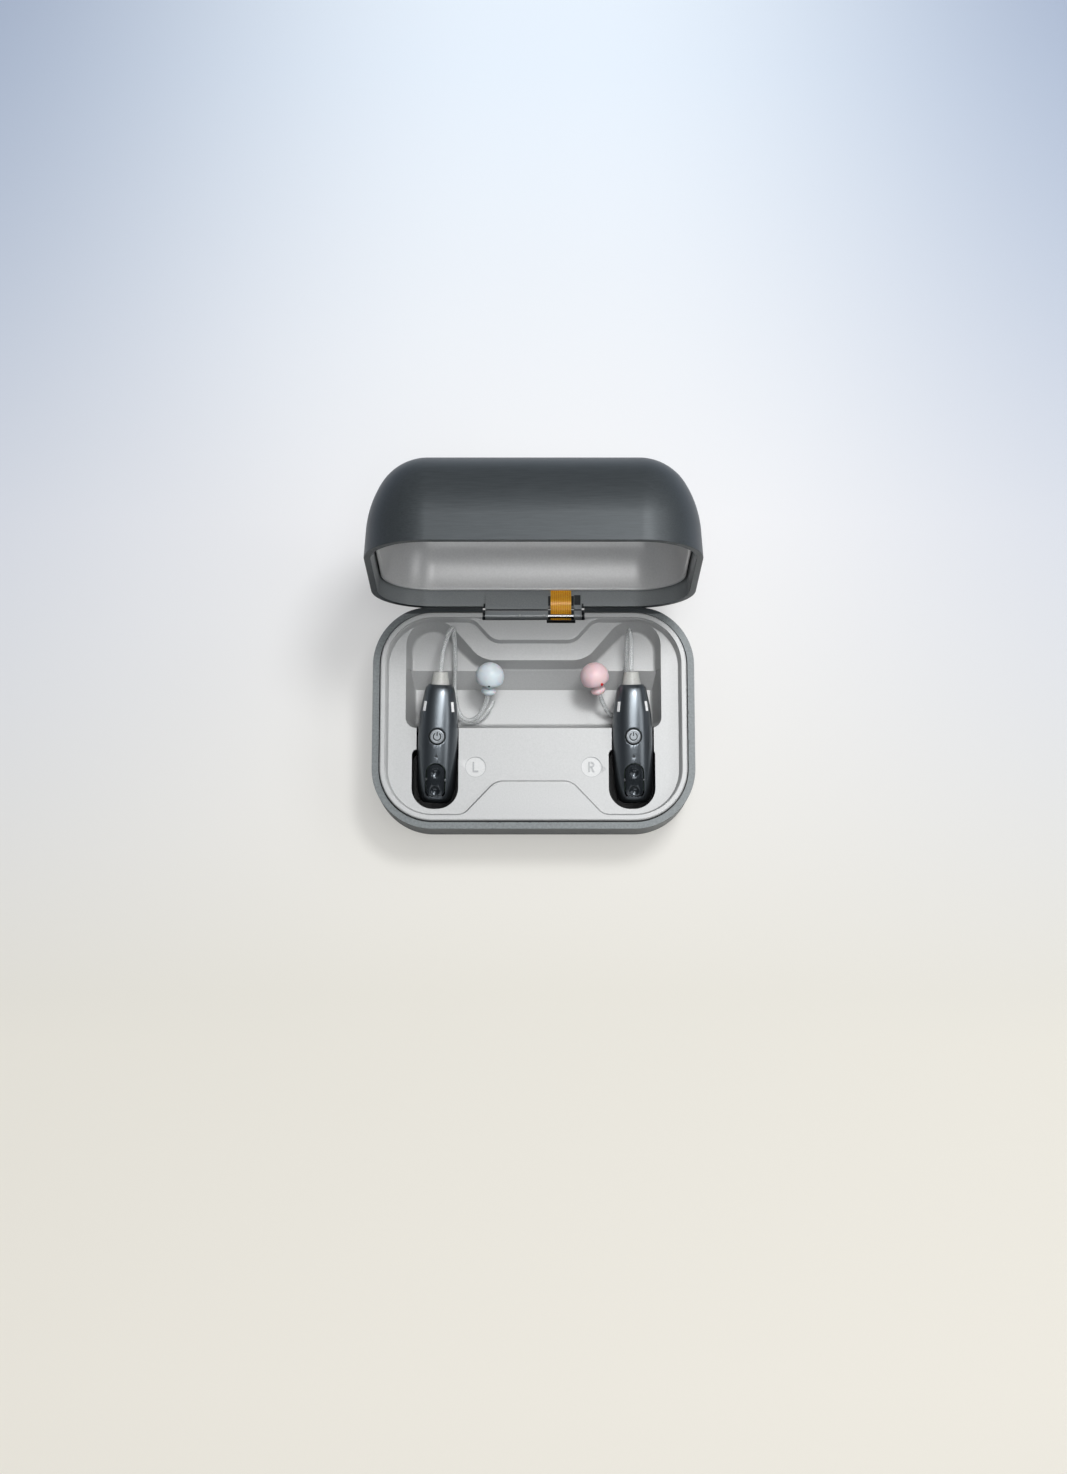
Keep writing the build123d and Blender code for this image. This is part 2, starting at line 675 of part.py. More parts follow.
def tray_body(basin, pocket):
    """The outside of the deck, pocket and trough."""
    start = RIM_HEIGHT - TRAY_THICKNESS / 2
    body = sunk(offset(basin, TRAY_THICKNESS), start, DECK_DEPTH + TRAY_THICKNESS / 2, DECK_DRAFT)
    depth = TROUGH_DEPTH - DECK_DEPTH
    bowl = sunk(offset(pocket, TRAY_THICKNESS), DECK_Z - TRAY_THICKNESS, depth, POCKET_DRAFT)
    body += bowl - pocket_floor(TRAY_THICKNESS)
    return body & raised(case_outline(WALL + LEDGE_WIDTH + TRAY_GAP), 0, RIM_HEIGHT)


def inner_tray():
    """The light tray: lip, lands, deck, tube pocket, trough, well openings and side marks."""
    basin, pocket = basin_outline(), pocket_outline(POCKET_MOUTH)
    tray = tray_rim() + tray_body(basin, pocket)
    above = raised(pocket, DECK_Z, RIM_HEIGHT) & raised(case_outline(BASIN_INSET), 0, 2 * RIM_HEIGHT)
    tray -= sunk(basin, RIM_HEIGHT, DECK_DEPTH, DECK_DRAFT)
    tray -= above + pocket_hollow(pocket)
    for x, letter in ((-MARK_X, letter_l()), (MARK_X, letter_r())):
        field, character = side_mark(x, letter)
        tray = tray - field + character
    for side, (_, neck_x) in WELLS.items():
        tray -= raised(well_outline(side, 0), 0, 2 * RIM_HEIGHT)
        left, right = neck_x - NECK_HALF_WIDTH, neck_x + NECK_HALF_WIDTH
        passage = slab(left, right, WELL_NECK_Y, SLOPE_FRONT_Y - FLOOR_ROUNDING, 0, 2 * RIM_HEIGHT)
        tray -= passage - below_aid_plane(well_floor())
    tray += magnet_rings()
    return tray - notch(2 * RIM_HEIGHT) - pin_seat_room()


def magnet_places():
    return [(side * MAGNET_X, -CASE_DEPTH / 2 + MAGNET_FROM_FRONT) for side in (-1, 1)]


def magnet_rings():
    """Rings under the front land that hold the base's magnets."""
    rings = None
    z = RIM_HEIGHT - TRAY_THICKNESS - MAGNET_THICKNESS / 2
    for x, y in magnet_places():
        ring = Cylinder(MAGNET_RADIUS + MAGNET_FIT + MAGNET_RING, MAGNET_THICKNESS)
        ring = Pos(x, y, z) * (ring - Cylinder(MAGNET_RADIUS + MAGNET_FIT, MAGNET_THICKNESS))
        rings = ring if rings is None else rings + ring
    return rings


def base_magnets():
    z = RIM_HEIGHT - TRAY_THICKNESS - MAGNET_THICKNESS / 2
    return [Pos(x, y, z) * Cylinder(MAGNET_RADIUS, MAGNET_THICKNESS) for x, y in magnet_places()]


def cradle(side):
    """A black well: walls down from under the deck, a sloped floor and a flange below the deck."""
    top = DECK_Z - TRAY_THICKNESS
    outer = raised(well_outline(side, WELL_WALL), 0, top) - below_aid_plane(well_floor() - WELL_WALL)
    flange_bottom = top - WELL_FLANGE_HEIGHT
    flange = raised(well_outline(side, WELL_WALL + WELL_FLANGE), flange_bottom, WELL_FLANGE_HEIGHT)
    flange &= slab(-FAR, FAR, -FAR, POCKET_FRONT_Y - 2 * TRAY_THICKNESS, 0, FAR)
    cavity = raised(well_outline(side, 0), 0, 2 * RIM_HEIGHT) - below_aid_plane(well_floor())
    well = outer + flange - cavity
    for place in CONTACT_PLACES:
        hole = Cylinder(CHARGE_PIN_RADIUS + CHARGE_PIN_CLEARANCE, 4 * WELL_WALL)
        well -= well_frame(AIDS[side][0]) * Pos(0, place, well_floor()) * hole
    return well


def well_frame(x):
    """The frame of an aid that stands straight in its well."""
    return Pos(x, AID_Y, RIM_HEIGHT - AID_AXIS_DROP) * Rot(AID_TILT, 0, 0)


def charging_pins(x):
    bottom = well_floor() - WELL_WALL
    height = CONTACT_FACE - CHARGE_PIN_GAP - bottom
    return [
        well_frame(x) * Pos(0, place, bottom + height / 2) * Cylinder(CHARGE_PIN_RADIUS, height)
        for place in CONTACT_PLACES
    ]


def contact_board(x):
    width, length, thickness = CONTACT_BOARD
    z = well_floor() - WELL_WALL - thickness / 2
    return well_frame(x) * Pos(0, CONTACT_BOARD_FROM + length / 2, z) * Box(width, length, thickness)


def contact_lead(x):
    """A flat lead from under the contact board back to the main board, below the trough."""
    end = CONTACT_BOARD_FROM + CONTACT_BOARD[1]
    drop = well_floor() - WELL_WALL - CONTACT_BOARD[2] - LEAD_GAP - LEAD_THICKNESS / 2
    top = BOARD_HEIGHT + BOARD_THICKNESS + LEAD_THICKNESS / 2
    path = FilletPolyline(
        tuple((well_frame(x) * Pos(0, end - LEAD_LAP, drop)).position),
        tuple((well_frame(x) * Pos(0, end + LEAD_FOLD, drop)).position),
        (x, BOARD_FRONT_Y - 2 * LEAD_FOLD, top),
        (x, BOARD_FRONT_Y + LEAD_FOLD, top),
        radius=LEAD_FOLD,
    )
    section = Plane(path @ 0, x_dir=(1, 0, 0), z_dir=path % 0) * Rectangle(LEAD_WIDTH, LEAD_THICKNESS)
    return sweep(section, path)


def case_cell():
    width, depth, height = CELL_SIZE
    cell = Pos(0, CELL_Y, WALL + height / 2) * Box(width, depth, height)
    return fillet(cell.edges().filter_by(Axis.Y), CELL_ROUNDING)


def main_board():
    board = slab(
        -BOARD_HALF_WIDTH, BOARD_HALF_WIDTH, BOARD_FRONT_Y, BOARD_BACK_Y,
        BOARD_HEIGHT, BOARD_HEIGHT + BOARD_THICKNESS,
    )
    for x, y in board_places():
        board -= Pos(x, y, BOARD_HEIGHT) * Cylinder(SCREW_RADIUS + 4 * SCREW_FIT, 4 * BOARD_THICKNESS)
    return board


def board_components():
    """Charging controller, coils, capacitors and the cable's connector, all on the main board."""
    top = BOARD_HEIGHT + BOARD_THICKNESS
    return [slab(x - w / 2, x + w / 2, y - d / 2, y + d / 2, top, top + h) for x, y, w, d, h in BOARD_PARTS]


def board_screws():
    screws = []
    for x, y in board_places():
        top = BOARD_HEIGHT + BOARD_THICKNESS
        shank = Pos(x, y, top - SCREW_LENGTH / 2) * Cylinder(SCREW_RADIUS, SCREW_LENGTH)
        head = Pos(x, y, top + SCREW_HEAD_HEIGHT / 2) * Cylinder(SCREW_HEAD_RADIUS, SCREW_HEAD_HEIGHT)
        screws.append(shank + head)
    return screws


def hinge_pin():
    half = pin_half_length() - PIN_END_GAP
    return bar(PIN_RADIUS, -half, half, HINGE_Y, HINGE_Z)


def flex_cable():
    """The cable at rest: up from the main board, under the bare pin, over the arm's web and into the lid."""
    x = (FLEX_SLOT_LEFT + FLEX_SLOT_RIGHT) / 2
    stand_off = FLEX_WALL_GAP + FLEX_THICKNESS / 2
    _, connector_y, _, connector_depth, _ = BOARD_PARTS[4]
    start = connector_y + connector_depth / 2 + FLEX_THICKNESS
    board_top = BOARD_HEIGHT + BOARD_THICKNESS + FLEX_BEND
    under_pin = HINGE_Z - PIN_RADIUS - FLEX_THICKNESS
    wall_y = CASE_DEPTH / 2 - WALL
    inside = wall_y - stand_off - LINER_RECESS * tan(radians(LID_DRAFT))
    route = [
        (start, board_top), (start + FLEX_ON_BOARD, board_top + FLEX_THICKNESS),
        (HINGE_Y - 6.5, HINGE_Z - 7.2), (HINGE_Y - 1.9, HINGE_Z - 3.4),
        (HINGE_Y - 0.9, under_pin - 0.25), (HINGE_Y + 0.65, under_pin), (HINGE_Y + 2.0, under_pin + 1.35),
        lid_point(wall_y - SLOT_WEB - stand_off, LID_RIM_Z + ARM_REACH),
        lid_point(inside, LID_RIM_Z + LINER_RECESS + FLEX_LAP),
    ]
    path = FilletPolyline(*[(x, y, z) for y, z in route], radius=FLEX_BEND)
    section = Plane(path @ 0, x_dir=(1, 0, 0), z_dir=path % 0) * Rectangle(FLEX_WIDTH, FLEX_THICKNESS)
    return sweep(section, path)


def lid_shell():
    """The domed lid with liner posts, a window slot and magnet pockets."""
    outer, inner = lid_block(0), lid_block(WALL)
    shell = outer - inner
    crown = LID_RIM_Z + LID_HEIGHT - WALL / 2
    for x in (-POST_X, POST_X):
        for y in (-POST_Y, POST_Y):
            height = crown - LINER_TOP_Z
            shell += Pos(x, y, LINER_TOP_Z + height / 2) * Cylinder(POST_RADIUS, height)
    shell -= raised(Pos(0, LIGHT_Y) * stadium(WINDOW_WIDTH, WINDOW_DEPTH), LINER_TOP_Z + 1, LID_HEIGHT)
    for place in lid_magnet_frames():
        shell -= place * Cylinder(MAGNET_RADIUS + MAGNET_FIT, 2 * LID_MAGNET_DEPTH + 2 * MAGNET_FIT)
    return shell


def lid_magnet_frames():
    """Centres of the pocket mouths on the inside of the lid's front wall, leaning with it."""
    lean = LID_MAGNET_HEIGHT * tan(radians(LID_DRAFT)) + WALL / cos(radians(LID_DRAFT))
    y = -CASE_DEPTH / 2 + lean
    return [
        Pos(side * MAGNET_X, y, LID_RIM_Z + LID_MAGNET_HEIGHT) * Rot(90 - LID_DRAFT, 0, 0)
        for side in (-1, 1)
    ]


def lid_magnets():
    magnet = Pos(0, 0, LID_MAGNET_DEPTH / 2) * Cylinder(MAGNET_RADIUS, LID_MAGNET_DEPTH)
    return [place * magnet for place in lid_magnet_frames()]


def lid_liner():
    """The light lining, set back from the lid's rim, with a lower crown that leaves room for the board."""
    outer = lid_block(WALL + LINER_GAP, LINER_HEADROOM - LINER_GAP)
    inner = lid_block(WALL + LINER_GAP + LINER_THICKNESS, LINER_HEADROOM - LINER_GAP)
    liner = outer - inner
    liner -= slab(-FAR, FAR, -FAR, FAR, 0, LID_RIM_Z + LINER_RECESS)
    return liner


def light_window():
    crown = LID_RIM_Z + LID_HEIGHT
    flange_z = crown - WALL - WINDOW_FLANGE_HEIGHT
    fit = SCREW_FIT
    pane = Pos(0, LIGHT_Y) * stadium(WINDOW_WIDTH - 2 * fit, WINDOW_DEPTH - 2 * fit)
    body = raised(pane, flange_z, crown - flange_z)
    flange = stadium(WINDOW_WIDTH + 2 * WINDOW_FLANGE, WINDOW_DEPTH + 2 * WINDOW_FLANGE)
    return body + raised(Pos(0, LIGHT_Y) * flange, flange_z, WINDOW_FLANGE_HEIGHT)


def status_board():
    width, depth, thickness = STATUS_BOARD
    return Pos(0, 0, LINER_TOP_Z + thickness / 2) * Box(width, depth, thickness)


def status_lights():
    z = LINER_TOP_Z + STATUS_BOARD[2] + LIGHT_HEIGHT / 2
    first = -(LIGHT_COUNT - 1) / 2
    return [
        Pos((first + i) * LIGHT_PITCH, LIGHT_Y, z) * Box(LIGHT_SIDE, LIGHT_SIDE, LIGHT_HEIGHT)
        for i in range(LIGHT_COUNT)
    ]


def lid_hinge_arm():
    """The lid's arm: a plate inside the rear wall, the barrel round the pin and the cable's slot."""
    half = ARM_HALF_WIDTH
    front, wall_y = HINGE_Y - BARREL_RADIUS, CASE_DEPTH / 2 - WALL
    top = LID_RIM_Z + ARM_REACH
    arm = slab(-half, half, front, HINGE_Y + BARREL_RADIUS, HINGE_Z, RIM_HEIGHT)
    arm += slab(-half, half, front, CASE_DEPTH / 2, LID_RIM_Z, top) & lid_block(WALL)
    arm += slab(-half, half, front, wall_y - PARTING_GAP, HINGE_Z, LID_RIM_Z + PARTING_GAP)
    arm += bar(BARREL_RADIUS, -half, half, HINGE_Y, HINGE_Z)
    low, web_start = HINGE_Z - 2 * BARREL_RADIUS, LID_RIM_Z - SLOT_WEB_LEAD
    arm -= slab(FLEX_SLOT_LEFT, FLEX_SLOT_RIGHT, 0, wall_y - SLOT_WEB, low, 2 * top)
    arm -= slab(FLEX_SLOT_LEFT, FLEX_SLOT_RIGHT, 0, CASE_DEPTH, low, web_start)
    return arm - bar(PIN_RADIUS + BARREL_CLEARANCE, -2 * half, 2 * half, HINGE_Y, HINGE_Z)


def aid_frame(side):
    """The aid's own frame: X across, Y up along the aid, Z out of its spine."""
    x, turn = AIDS[side]
    return Pos(x, AID_Y, RIM_HEIGHT - AID_AXIS_DROP) * Rot(0, 0, turn) * Rot(AID_TILT, 0, 0)


def aid_form(grow, sections=AID_SECTIONS):
    """The aid's outer form, grown all round or, if grow is negative, shrunk."""
    rings = []
    for place, width, belly, spine in sections:
        w, h = width + 2 * grow, spine - belly + 2 * grow
        centre = (0, place, (belly + spine) / 2)
        ring = RectangleRounded(w, h, SECTION_ROUNDING * min(w, h))
        rings.append(Plane(centre, x_dir=(1, 0, 0), z_dir=(0, 1, 0)) * ring)
    return loft(rings)


def aid_hollow():
    """The room inside the aid's walls."""
    inner = [(place, *rest) for place, *rest in AID_SECTIONS[1:-1]]
    inner[0] = (inner[0][0] + 0.3, *inner[0][1:])
    return aid_form(-AID_WALL, inner)


def section_at(place):
    """Width, belly and spine heights of the aid at a place along its axis."""
    for (a, *low), (b, *high) in zip(AID_SECTIONS, AID_SECTIONS[1:]):
        if a <= place <= b:
            share = (place - a) / (b - a)
            return [one + (two - one) * share for one, two in zip(low, high)]
    return AID_SECTIONS[-1][1:]


def spine_height(place):
    """Height of the spine above the aid's axis."""
    return section_at(place)[2]


def rocker_centre():
    return (ROCKER_FROM + ROCKER_TO) / 2


def rocker_axis_height():
    return spine_height(rocker_centre()) - ROCKER_AXIS_DEPTH


def rocker_outline(grow):
    """The rocker from above: round at its upper end, with a squarer lower end."""
    width, length = ROCKER_WIDTH + 2 * grow, ROCKER_TO - ROCKER_FROM + 2 * grow
    outline = Pos(0, rocker_centre()) * RectangleRounded(width, length, width * 0.3)
    cap = Pos(0, ROCKER_TO + grow - width / 2) * Circle(width / 2)
    upper = Pos(0, ROCKER_TO + grow) * Rectangle(2 * width, width)
    return outline - upper + cap


def mic_frames():
    """Frames of the two microphone slots, on the rounded edges of the spine."""
    width, _, spine = section_at(MIC_AT)
    radius = SECTION_ROUNDING * width
    out = MIC_OUT - (width / 2 - radius)
    height = spine - radius + sqrt(radius * radius - out * out)
    return [Pos(side * MIC_OUT, MIC_AT, height) * Rot(0, side * MIC_LEAN, 0) for side in (-1, 1)]


def mic_box(frame):
    return frame * Box(MIC_WIDTH, MIC_LENGTH, 4 * AID_WALL)


def rocker_lugs():
    """Two lugs inside the spine cover that hold the rocker's pin."""
    centre_y, axis_z = rocker_centre(), rocker_axis_height()
    near = ROCKER_WIDTH / 2 + ROCKER_GAP / 2
    low, high = axis_z - ROCKER_EAR_RADIUS, axis_z + ROCKER_AXIS_DEPTH
    front, back = centre_y - ROCKER_EAR_RADIUS, centre_y + ROCKER_EAR_RADIUS
    lug = slab(near, near + ROCKER_LUG, front, back, low, high)
    return (lug + mirror(lug, Plane.YZ)) & aid_form(-AID_WALL / 2)


def drilled(place, height, radius):
    """A hole's cutter, square to the aid's axis."""
    return Pos(0, place, height) * Cylinder(radius, 8 * AID_WALL)


def aid_shells():
    """The belly shell and the spine cover, each with its openings."""
    wall = aid_form(0) - aid_hollow()
    lower = slab(-FAR, FAR, -FAR, FAR, -FAR, AID_SPLIT)
    belly, spine = wall & lower, wall - lower
    for place in CONTACT_PLACES:
        belly -= Pos(0, place, CONTACT_FACE) * Cylinder(CONTACT_RADIUS, 4 * AID_WALL)
    centre_y, axis_z = rocker_centre(), rocker_axis_height()
    spine += rocker_lugs()
    spine -= raised(rocker_outline(ROCKER_GAP / 2), axis_z - ROCKER_AXIS_DEPTH, 4 * ROCKER_AXIS_DEPTH)
    half = ROCKER_PIN_LENGTH / 2
    spine -= bar(ROCKER_PIN_RADIUS + PIN_SEAT_CLEARANCE, -half, half, centre_y, axis_z)
    spine -= drilled(POWER_AT, spine_height(POWER_AT), POWER_HOLE_RADIUS)
    spine -= drilled(PINHOLE_AT, spine_height(PINHOLE_AT), PINHOLE_RADIUS)
    for frame in mic_frames():
        spine -= mic_box(frame)
    return belly, spine


def mic_inserts():
    skin = aid_form(0.04) - aid_hollow()
    return [mic_box(frame) & skin for frame in mic_frames()]


def power_button():
    top = spine_height(POWER_AT)
    bottom = top - POWER_DEPTH
    collar_top = top - POWER_COLLAR_BELOW
    collar = Pos(0, POWER_AT, (bottom + collar_top) / 2) * Cylinder(POWER_COLLAR_RADIUS, collar_top - bottom)
    disc_top = top + POWER_PROUD
    disc = Pos(0, POWER_AT, (collar_top + disc_top) / 2) * Cylinder(POWER_DISC_RADIUS, disc_top - collar_top)
    return collar + disc


def volume_rocker():
    """A curved plate that follows the spine, with two dimples and an eye for its pin."""
    centre_y, axis_z = rocker_centre(), rocker_axis_height()
    plate = aid_form(ROCKER_PROUD) - aid_form(ROCKER_PROUD - ROCKER_THICKNESS, AID_SECTIONS[1:-1])
    plate &= raised(rocker_outline(-ROCKER_GAP / 2), axis_z - ROCKER_EAR_RADIUS, 4 * ROCKER_AXIS_DEPTH)
    half = ROCKER_WIDTH / 2 - ROCKER_GAP
    front, back = centre_y - ROCKER_EAR_RADIUS, centre_y + ROCKER_EAR_RADIUS
    plate += bar(ROCKER_EAR_RADIUS, -half, half, centre_y, axis_z)
    plate += slab(-half, half, front, back, axis_z, axis_z + ROCKER_AXIS_DEPTH - ROCKER_THICKNESS / 2)
    for place in DIMPLE_PLACES:
        ball = (DIMPLE_RADIUS ** 2 + DIMPLE_DEPTH ** 2) / (2 * DIMPLE_DEPTH)
        height = spine_height(place) + ROCKER_PROUD + ball - DIMPLE_DEPTH
        plate -= Pos(0, place, height) * Sphere(ball)
    return plate - bar(ROCKER_PIN_RADIUS + BARREL_CLEARANCE, -FAR, FAR, centre_y, axis_z)


def rocker_pin():
    half = ROCKER_PIN_LENGTH / 2 - 0.1
    return bar(ROCKER_PIN_RADIUS, -half, half, rocker_centre(), rocker_axis_height())


def nozzle():
    frame = Plane((0, AID_LENGTH, NOZZLE_RISE), x_dir=(1, 0, 0), z_dir=(0, 1, 0))
    cone = loft([frame * Circle(NOZZLE_RADIUS), frame.offset(NOZZLE_LENGTH) * Circle(NOZZLE_TIP_RADIUS)])
    bore = frame.offset(NOZZLE_LENGTH - TUBE_SEAT) * Circle(TUBE_RADIUS + PIN_SEAT_CLEARANCE)
    return cone - extrude(bore, 2 * TUBE_SEAT)


def aid_contacts():
    return [
        Pos(0, place, CONTACT_FACE + CONTACT_DEPTH / 2) * Cylinder(CONTACT_RADIUS, CONTACT_DEPTH)
        for place in CONTACT_PLACES
    ]


def aid_board():
    width, length, thickness = AID_BOARD
    z = AID_BOARD_HEIGHT + thickness / 2
    return Pos(0, AID_BOARD_FROM + length / 2, z) * Box(width, length, thickness)


def aid_cell():
    width, length, height = AID_CELL
    cell = Pos(0, AID_CELL_FROM + length / 2, AID_BOARD_HEIGHT - height / 2) * Box(width, length, height)
    return fillet(cell.edges().filter_by(Axis.Y), 0.8)


def receiver():
    width, length, height = RECEIVER
    z = AID_BOARD_HEIGHT + AID_BOARD[2] + height / 2
    return Pos(0, RECEIVER_FROM + length / 2, z) * Box(width, length, height)


def button_switches():
    """Three small switches on the board: one under the power button and one under each rocker end."""
    board_top = AID_BOARD_HEIGHT + AID_BOARD[2]
    places = [(POWER_AT, spine_height(POWER_AT) - POWER_DEPTH - POWER_TRAVEL - SWITCH_GAP)]
    dip = (ROCKER_TO - ROCKER_FROM) / 2 * sin(radians(ROCKER_TILT))
    for place in ROCKER_SWITCH_PLACES:
        underside = spine_height(place) + ROCKER_PROUD - ROCKER_THICKNESS
        places.append((place, underside - dip - 3 * SWITCH_GAP))
    half = SWITCH_SIDE / 2
    return [slab(-half, half, y - half, y + half, board_top, top) for y, top in places]


def route_path(points):
    """A smooth route: straight runs joined by arcs as large as the runs allow."""
    points = [Vector(*p) for p in points]
    radii = []
    for before, here, after in zip(points, points[1:], points[2:]):
        one, two = here - before, after - here
        turn = radians(one.get_angle(two))
        radii.append(ARC_SHARE * min(one.length, two.length) / tan(turn / 2))
    return FilletPolyline(*points, radius=radii)


def strand(points, radius):
    """A round strand along a route."""
    path = route_path(points)
    section = Plane(path @ 0, z_dir=path % 0) * Circle(radius)
    return sweep(section, path)


def nozzle_points(side):
    """Where the sound tube starts in its nozzle, and a point straight out of it."""
    frame = aid_frame(side)
    seat = AID_LENGTH + NOZZLE_LENGTH - TUBE_SEAT
    return [
        tuple((frame * Pos(0, seat + out, NOZZLE_RISE)).position) for out in (0.0, TUBE_SEAT + NOZZLE_RUN)
    ]


# Routes of the preformed tubes: X from the aid they belong to, Y from the middle, Z from the rim.
TUBE_ROUTES = {
    "left": [
        (2.6, 19.4, 3.7), (4.0, 23.8, 3.0), (5.1, 25.4, 1.0), (5.2, 23.4, -0.5), (5.4, 19.6, -2.9),
        (5.4, 14.6, -4.8), (5.3, 8.6, -6.4), (5.9, 2.8, -7.3), (8.5, 0.0, -7.4), (11.5, 0.6, -6.4),
        (13.7, 3.4, -4.7),
    ],
    "right": [
        (-0.75, 19.6, 3.5), (-1.05, 24.0, 2.2), (-1.45, 25.2, -1.2), (-1.75, 22.6, -3.8),
        (-1.95, 17.6, -4.6), (-2.15, 12.6, -5.7), (-2.75, 7.4, -7.9), (-4.15, 3.2, -8.8),
        (-6.15, 1.6, -8.0), (-7.95, 3.4, -5.6),
    ],
}
DOME_CENTRES = {"left": (15.3, 11.2, 0.7), "right": (-11.05, 11.2, 0.7)}
DOME_AIMS = {"left": (0.5, 5.0, 3.2), "right": (-1.6, 5.2, 3.6)}
TAIL_ROUTE = [
    (6.1, 1.6, -8.9), (7.9, -0.1, -8.8), (10.9, -0.3, -8.3), (13.5, 1.2, -7.2), (15.5, 3.4, -5.8),
    (16.3, 5.4, -4.9),
]


def dome_frame(side):
    """The dome's frame: Z out of its crown."""
    origin = beside_aid(side, [DOME_CENTRES[side]])[0]
    return Plane(origin, x_dir=(1, 0, 0), z_dir=DOME_AIMS[side])


def beside_aid(side, points):
    """Points of a route, moved to their aid and to the rim's height."""
    aid_x, _ = AIDS[side]
    return [(aid_x + x, y, RIM_HEIGHT + z) for x, y, z in points]


def sound_tube(side):
    seat = dome_frame(side).offset(-SLEEVE_LENGTH + TUBE_SEAT).origin
    approach = dome_frame(side).offset(-SLEEVE_LENGTH - 0.8).origin
    points = nozzle_points(side) + beside_aid(side, TUBE_ROUTES[side]) + [tuple(approach), tuple(seat)]
    return strand(points, TUBE_RADIUS)


def ear_dome(side):
    """A soft dome: a round crown with an open skirt, on a sleeve that takes the tube."""
    shell = Sphere(DOME_RADIUS) - Sphere(DOME_RADIUS - DOME_WALL)
    shell -= slab(-FAR, FAR, -FAR, FAR, -FAR, -DOME_SKIRT)
    top = DOME_RADIUS - DOME_WALL / 2
    sleeve = Pos(0, 0, (top - SLEEVE_LENGTH) / 2) * Cylinder(SLEEVE_RADIUS, top + SLEEVE_LENGTH)
    collar = Cylinder(SLEEVE_COLLAR_RADIUS, SLEEVE_COLLAR_LENGTH)
    collar = Pos(0, 0, -SLEEVE_LENGTH + SLEEVE_COLLAR_LENGTH / 2) * fillet(collar.edges(), COLLAR_ROUNDING)
    bore_end = -SLEEVE_LENGTH + TUBE_SEAT
    bore = Pos(0, 0, bore_end - TUBE_SEAT) * Cylinder(TUBE_RADIUS + PIN_SEAT_CLEARANCE, 2 * TUBE_SEAT)
    inner = Sphere(DOME_RADIUS - DOME_WALL / 2)
    dome = shell + (sleeve & (inner + collar)) + collar
    return dome_frame(side).location * (dome - bore)


def retention_tail():
    """The loose tail beside the left tube, held at the dome's collar."""
    return strand(beside_aid("left", TAIL_ROUTE), TAIL_RADIUS)


def aid_pieces(side):
    """Every piece of one aid, by node name."""
    frame = aid_frame(side)
    belly, spine = aid_shells()
    pieces = {
        "aid_belly_shell": belly, "aid_spine_cover": spine, "power_button": power_button(),
        "volume_rocker": volume_rocker(), "rocker_pin": rocker_pin(), "tube_nozzle": nozzle(),
        "mic_inserts": mic_inserts(), "aid_contacts": aid_contacts(), "aid_board": aid_board(),
        "aid_cell": aid_cell(), "receiver": receiver(), "button_switches": button_switches(),
    }
    placed = {}
    for name, shape in pieces.items():
        group = isinstance(shape, list)
        placed[f"{side}_{name}"] = [frame * s for s in shape] if group else frame * shape
    placed[f"{side}_sound_tube"] = sound_tube(side)
    placed[f"{side}_ear_dome"] = ear_dome(side)
    return placed


def case_pieces():
    """Every piece of the case, by node name."""
    pieces = {
        "base_shell": base_shell(), "inner_tray": inner_tray(), "hinge_pin": hinge_pin(),
        "flex_cable": flex_cable(), "case_cell": case_cell(), "main_board": main_board(),
        "board_components": board_components(), "board_screws": board_screws(), "usb_socket": usb_socket(),
        "base_magnets": base_magnets(),
    }
    for side, (x, _) in AIDS.items():
        pieces[f"{side}_cradle"] = cradle(side)
        pieces[f"{side}_charging_pins"] = charging_pins(x)
        pieces[f"{side}_contact_board"] = contact_board(x)
        pieces[f"{side}_contact_lead"] = contact_lead(x)
    lid = {
        "lid_shell": lid_shell(), "lid_liner": lid_liner(), "lid_hinge_arm": lid_hinge_arm(),
        "light_window": light_window(), "status_board": status_board(), "status_lights": status_lights(),
        "lid_magnets": lid_magnets(),
    }
    for name, shape in lid.items():
        pieces[name] = [open_lid(s) for s in shape] if isinstance(shape, list) else open_lid(shape)
    return pieces


def main():
    os.makedirs("parts", exist_ok=True)
    pieces = case_pieces()
    for side in AIDS:
        pieces.update(aid_pieces(side))
    pieces["left_retention_tail"] = retention_tail()
    for name, shape in pieces.items():
        whole = Compound(children=shape) if isinstance(shape, list) else shape
        export_step(whole, f"parts/{name}.step")


main()
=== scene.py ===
import json
from math import asin, cos, hypot, pi, radians, sin, tan

import bmesh
import bpy
from mathutils import Matrix, Vector


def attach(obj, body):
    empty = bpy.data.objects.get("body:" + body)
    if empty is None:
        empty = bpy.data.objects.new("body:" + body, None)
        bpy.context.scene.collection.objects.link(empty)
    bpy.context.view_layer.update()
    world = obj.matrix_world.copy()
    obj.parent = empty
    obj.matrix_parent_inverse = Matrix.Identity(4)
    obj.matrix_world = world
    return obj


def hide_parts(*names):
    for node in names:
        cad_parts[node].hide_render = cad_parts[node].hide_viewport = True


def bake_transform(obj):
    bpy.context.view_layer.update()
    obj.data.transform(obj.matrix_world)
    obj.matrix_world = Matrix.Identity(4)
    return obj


# A charging case for two behind-the-ear hearing aids, open, on a pale floor.
# Shapes are written in millimetres and put into the scene in metres.

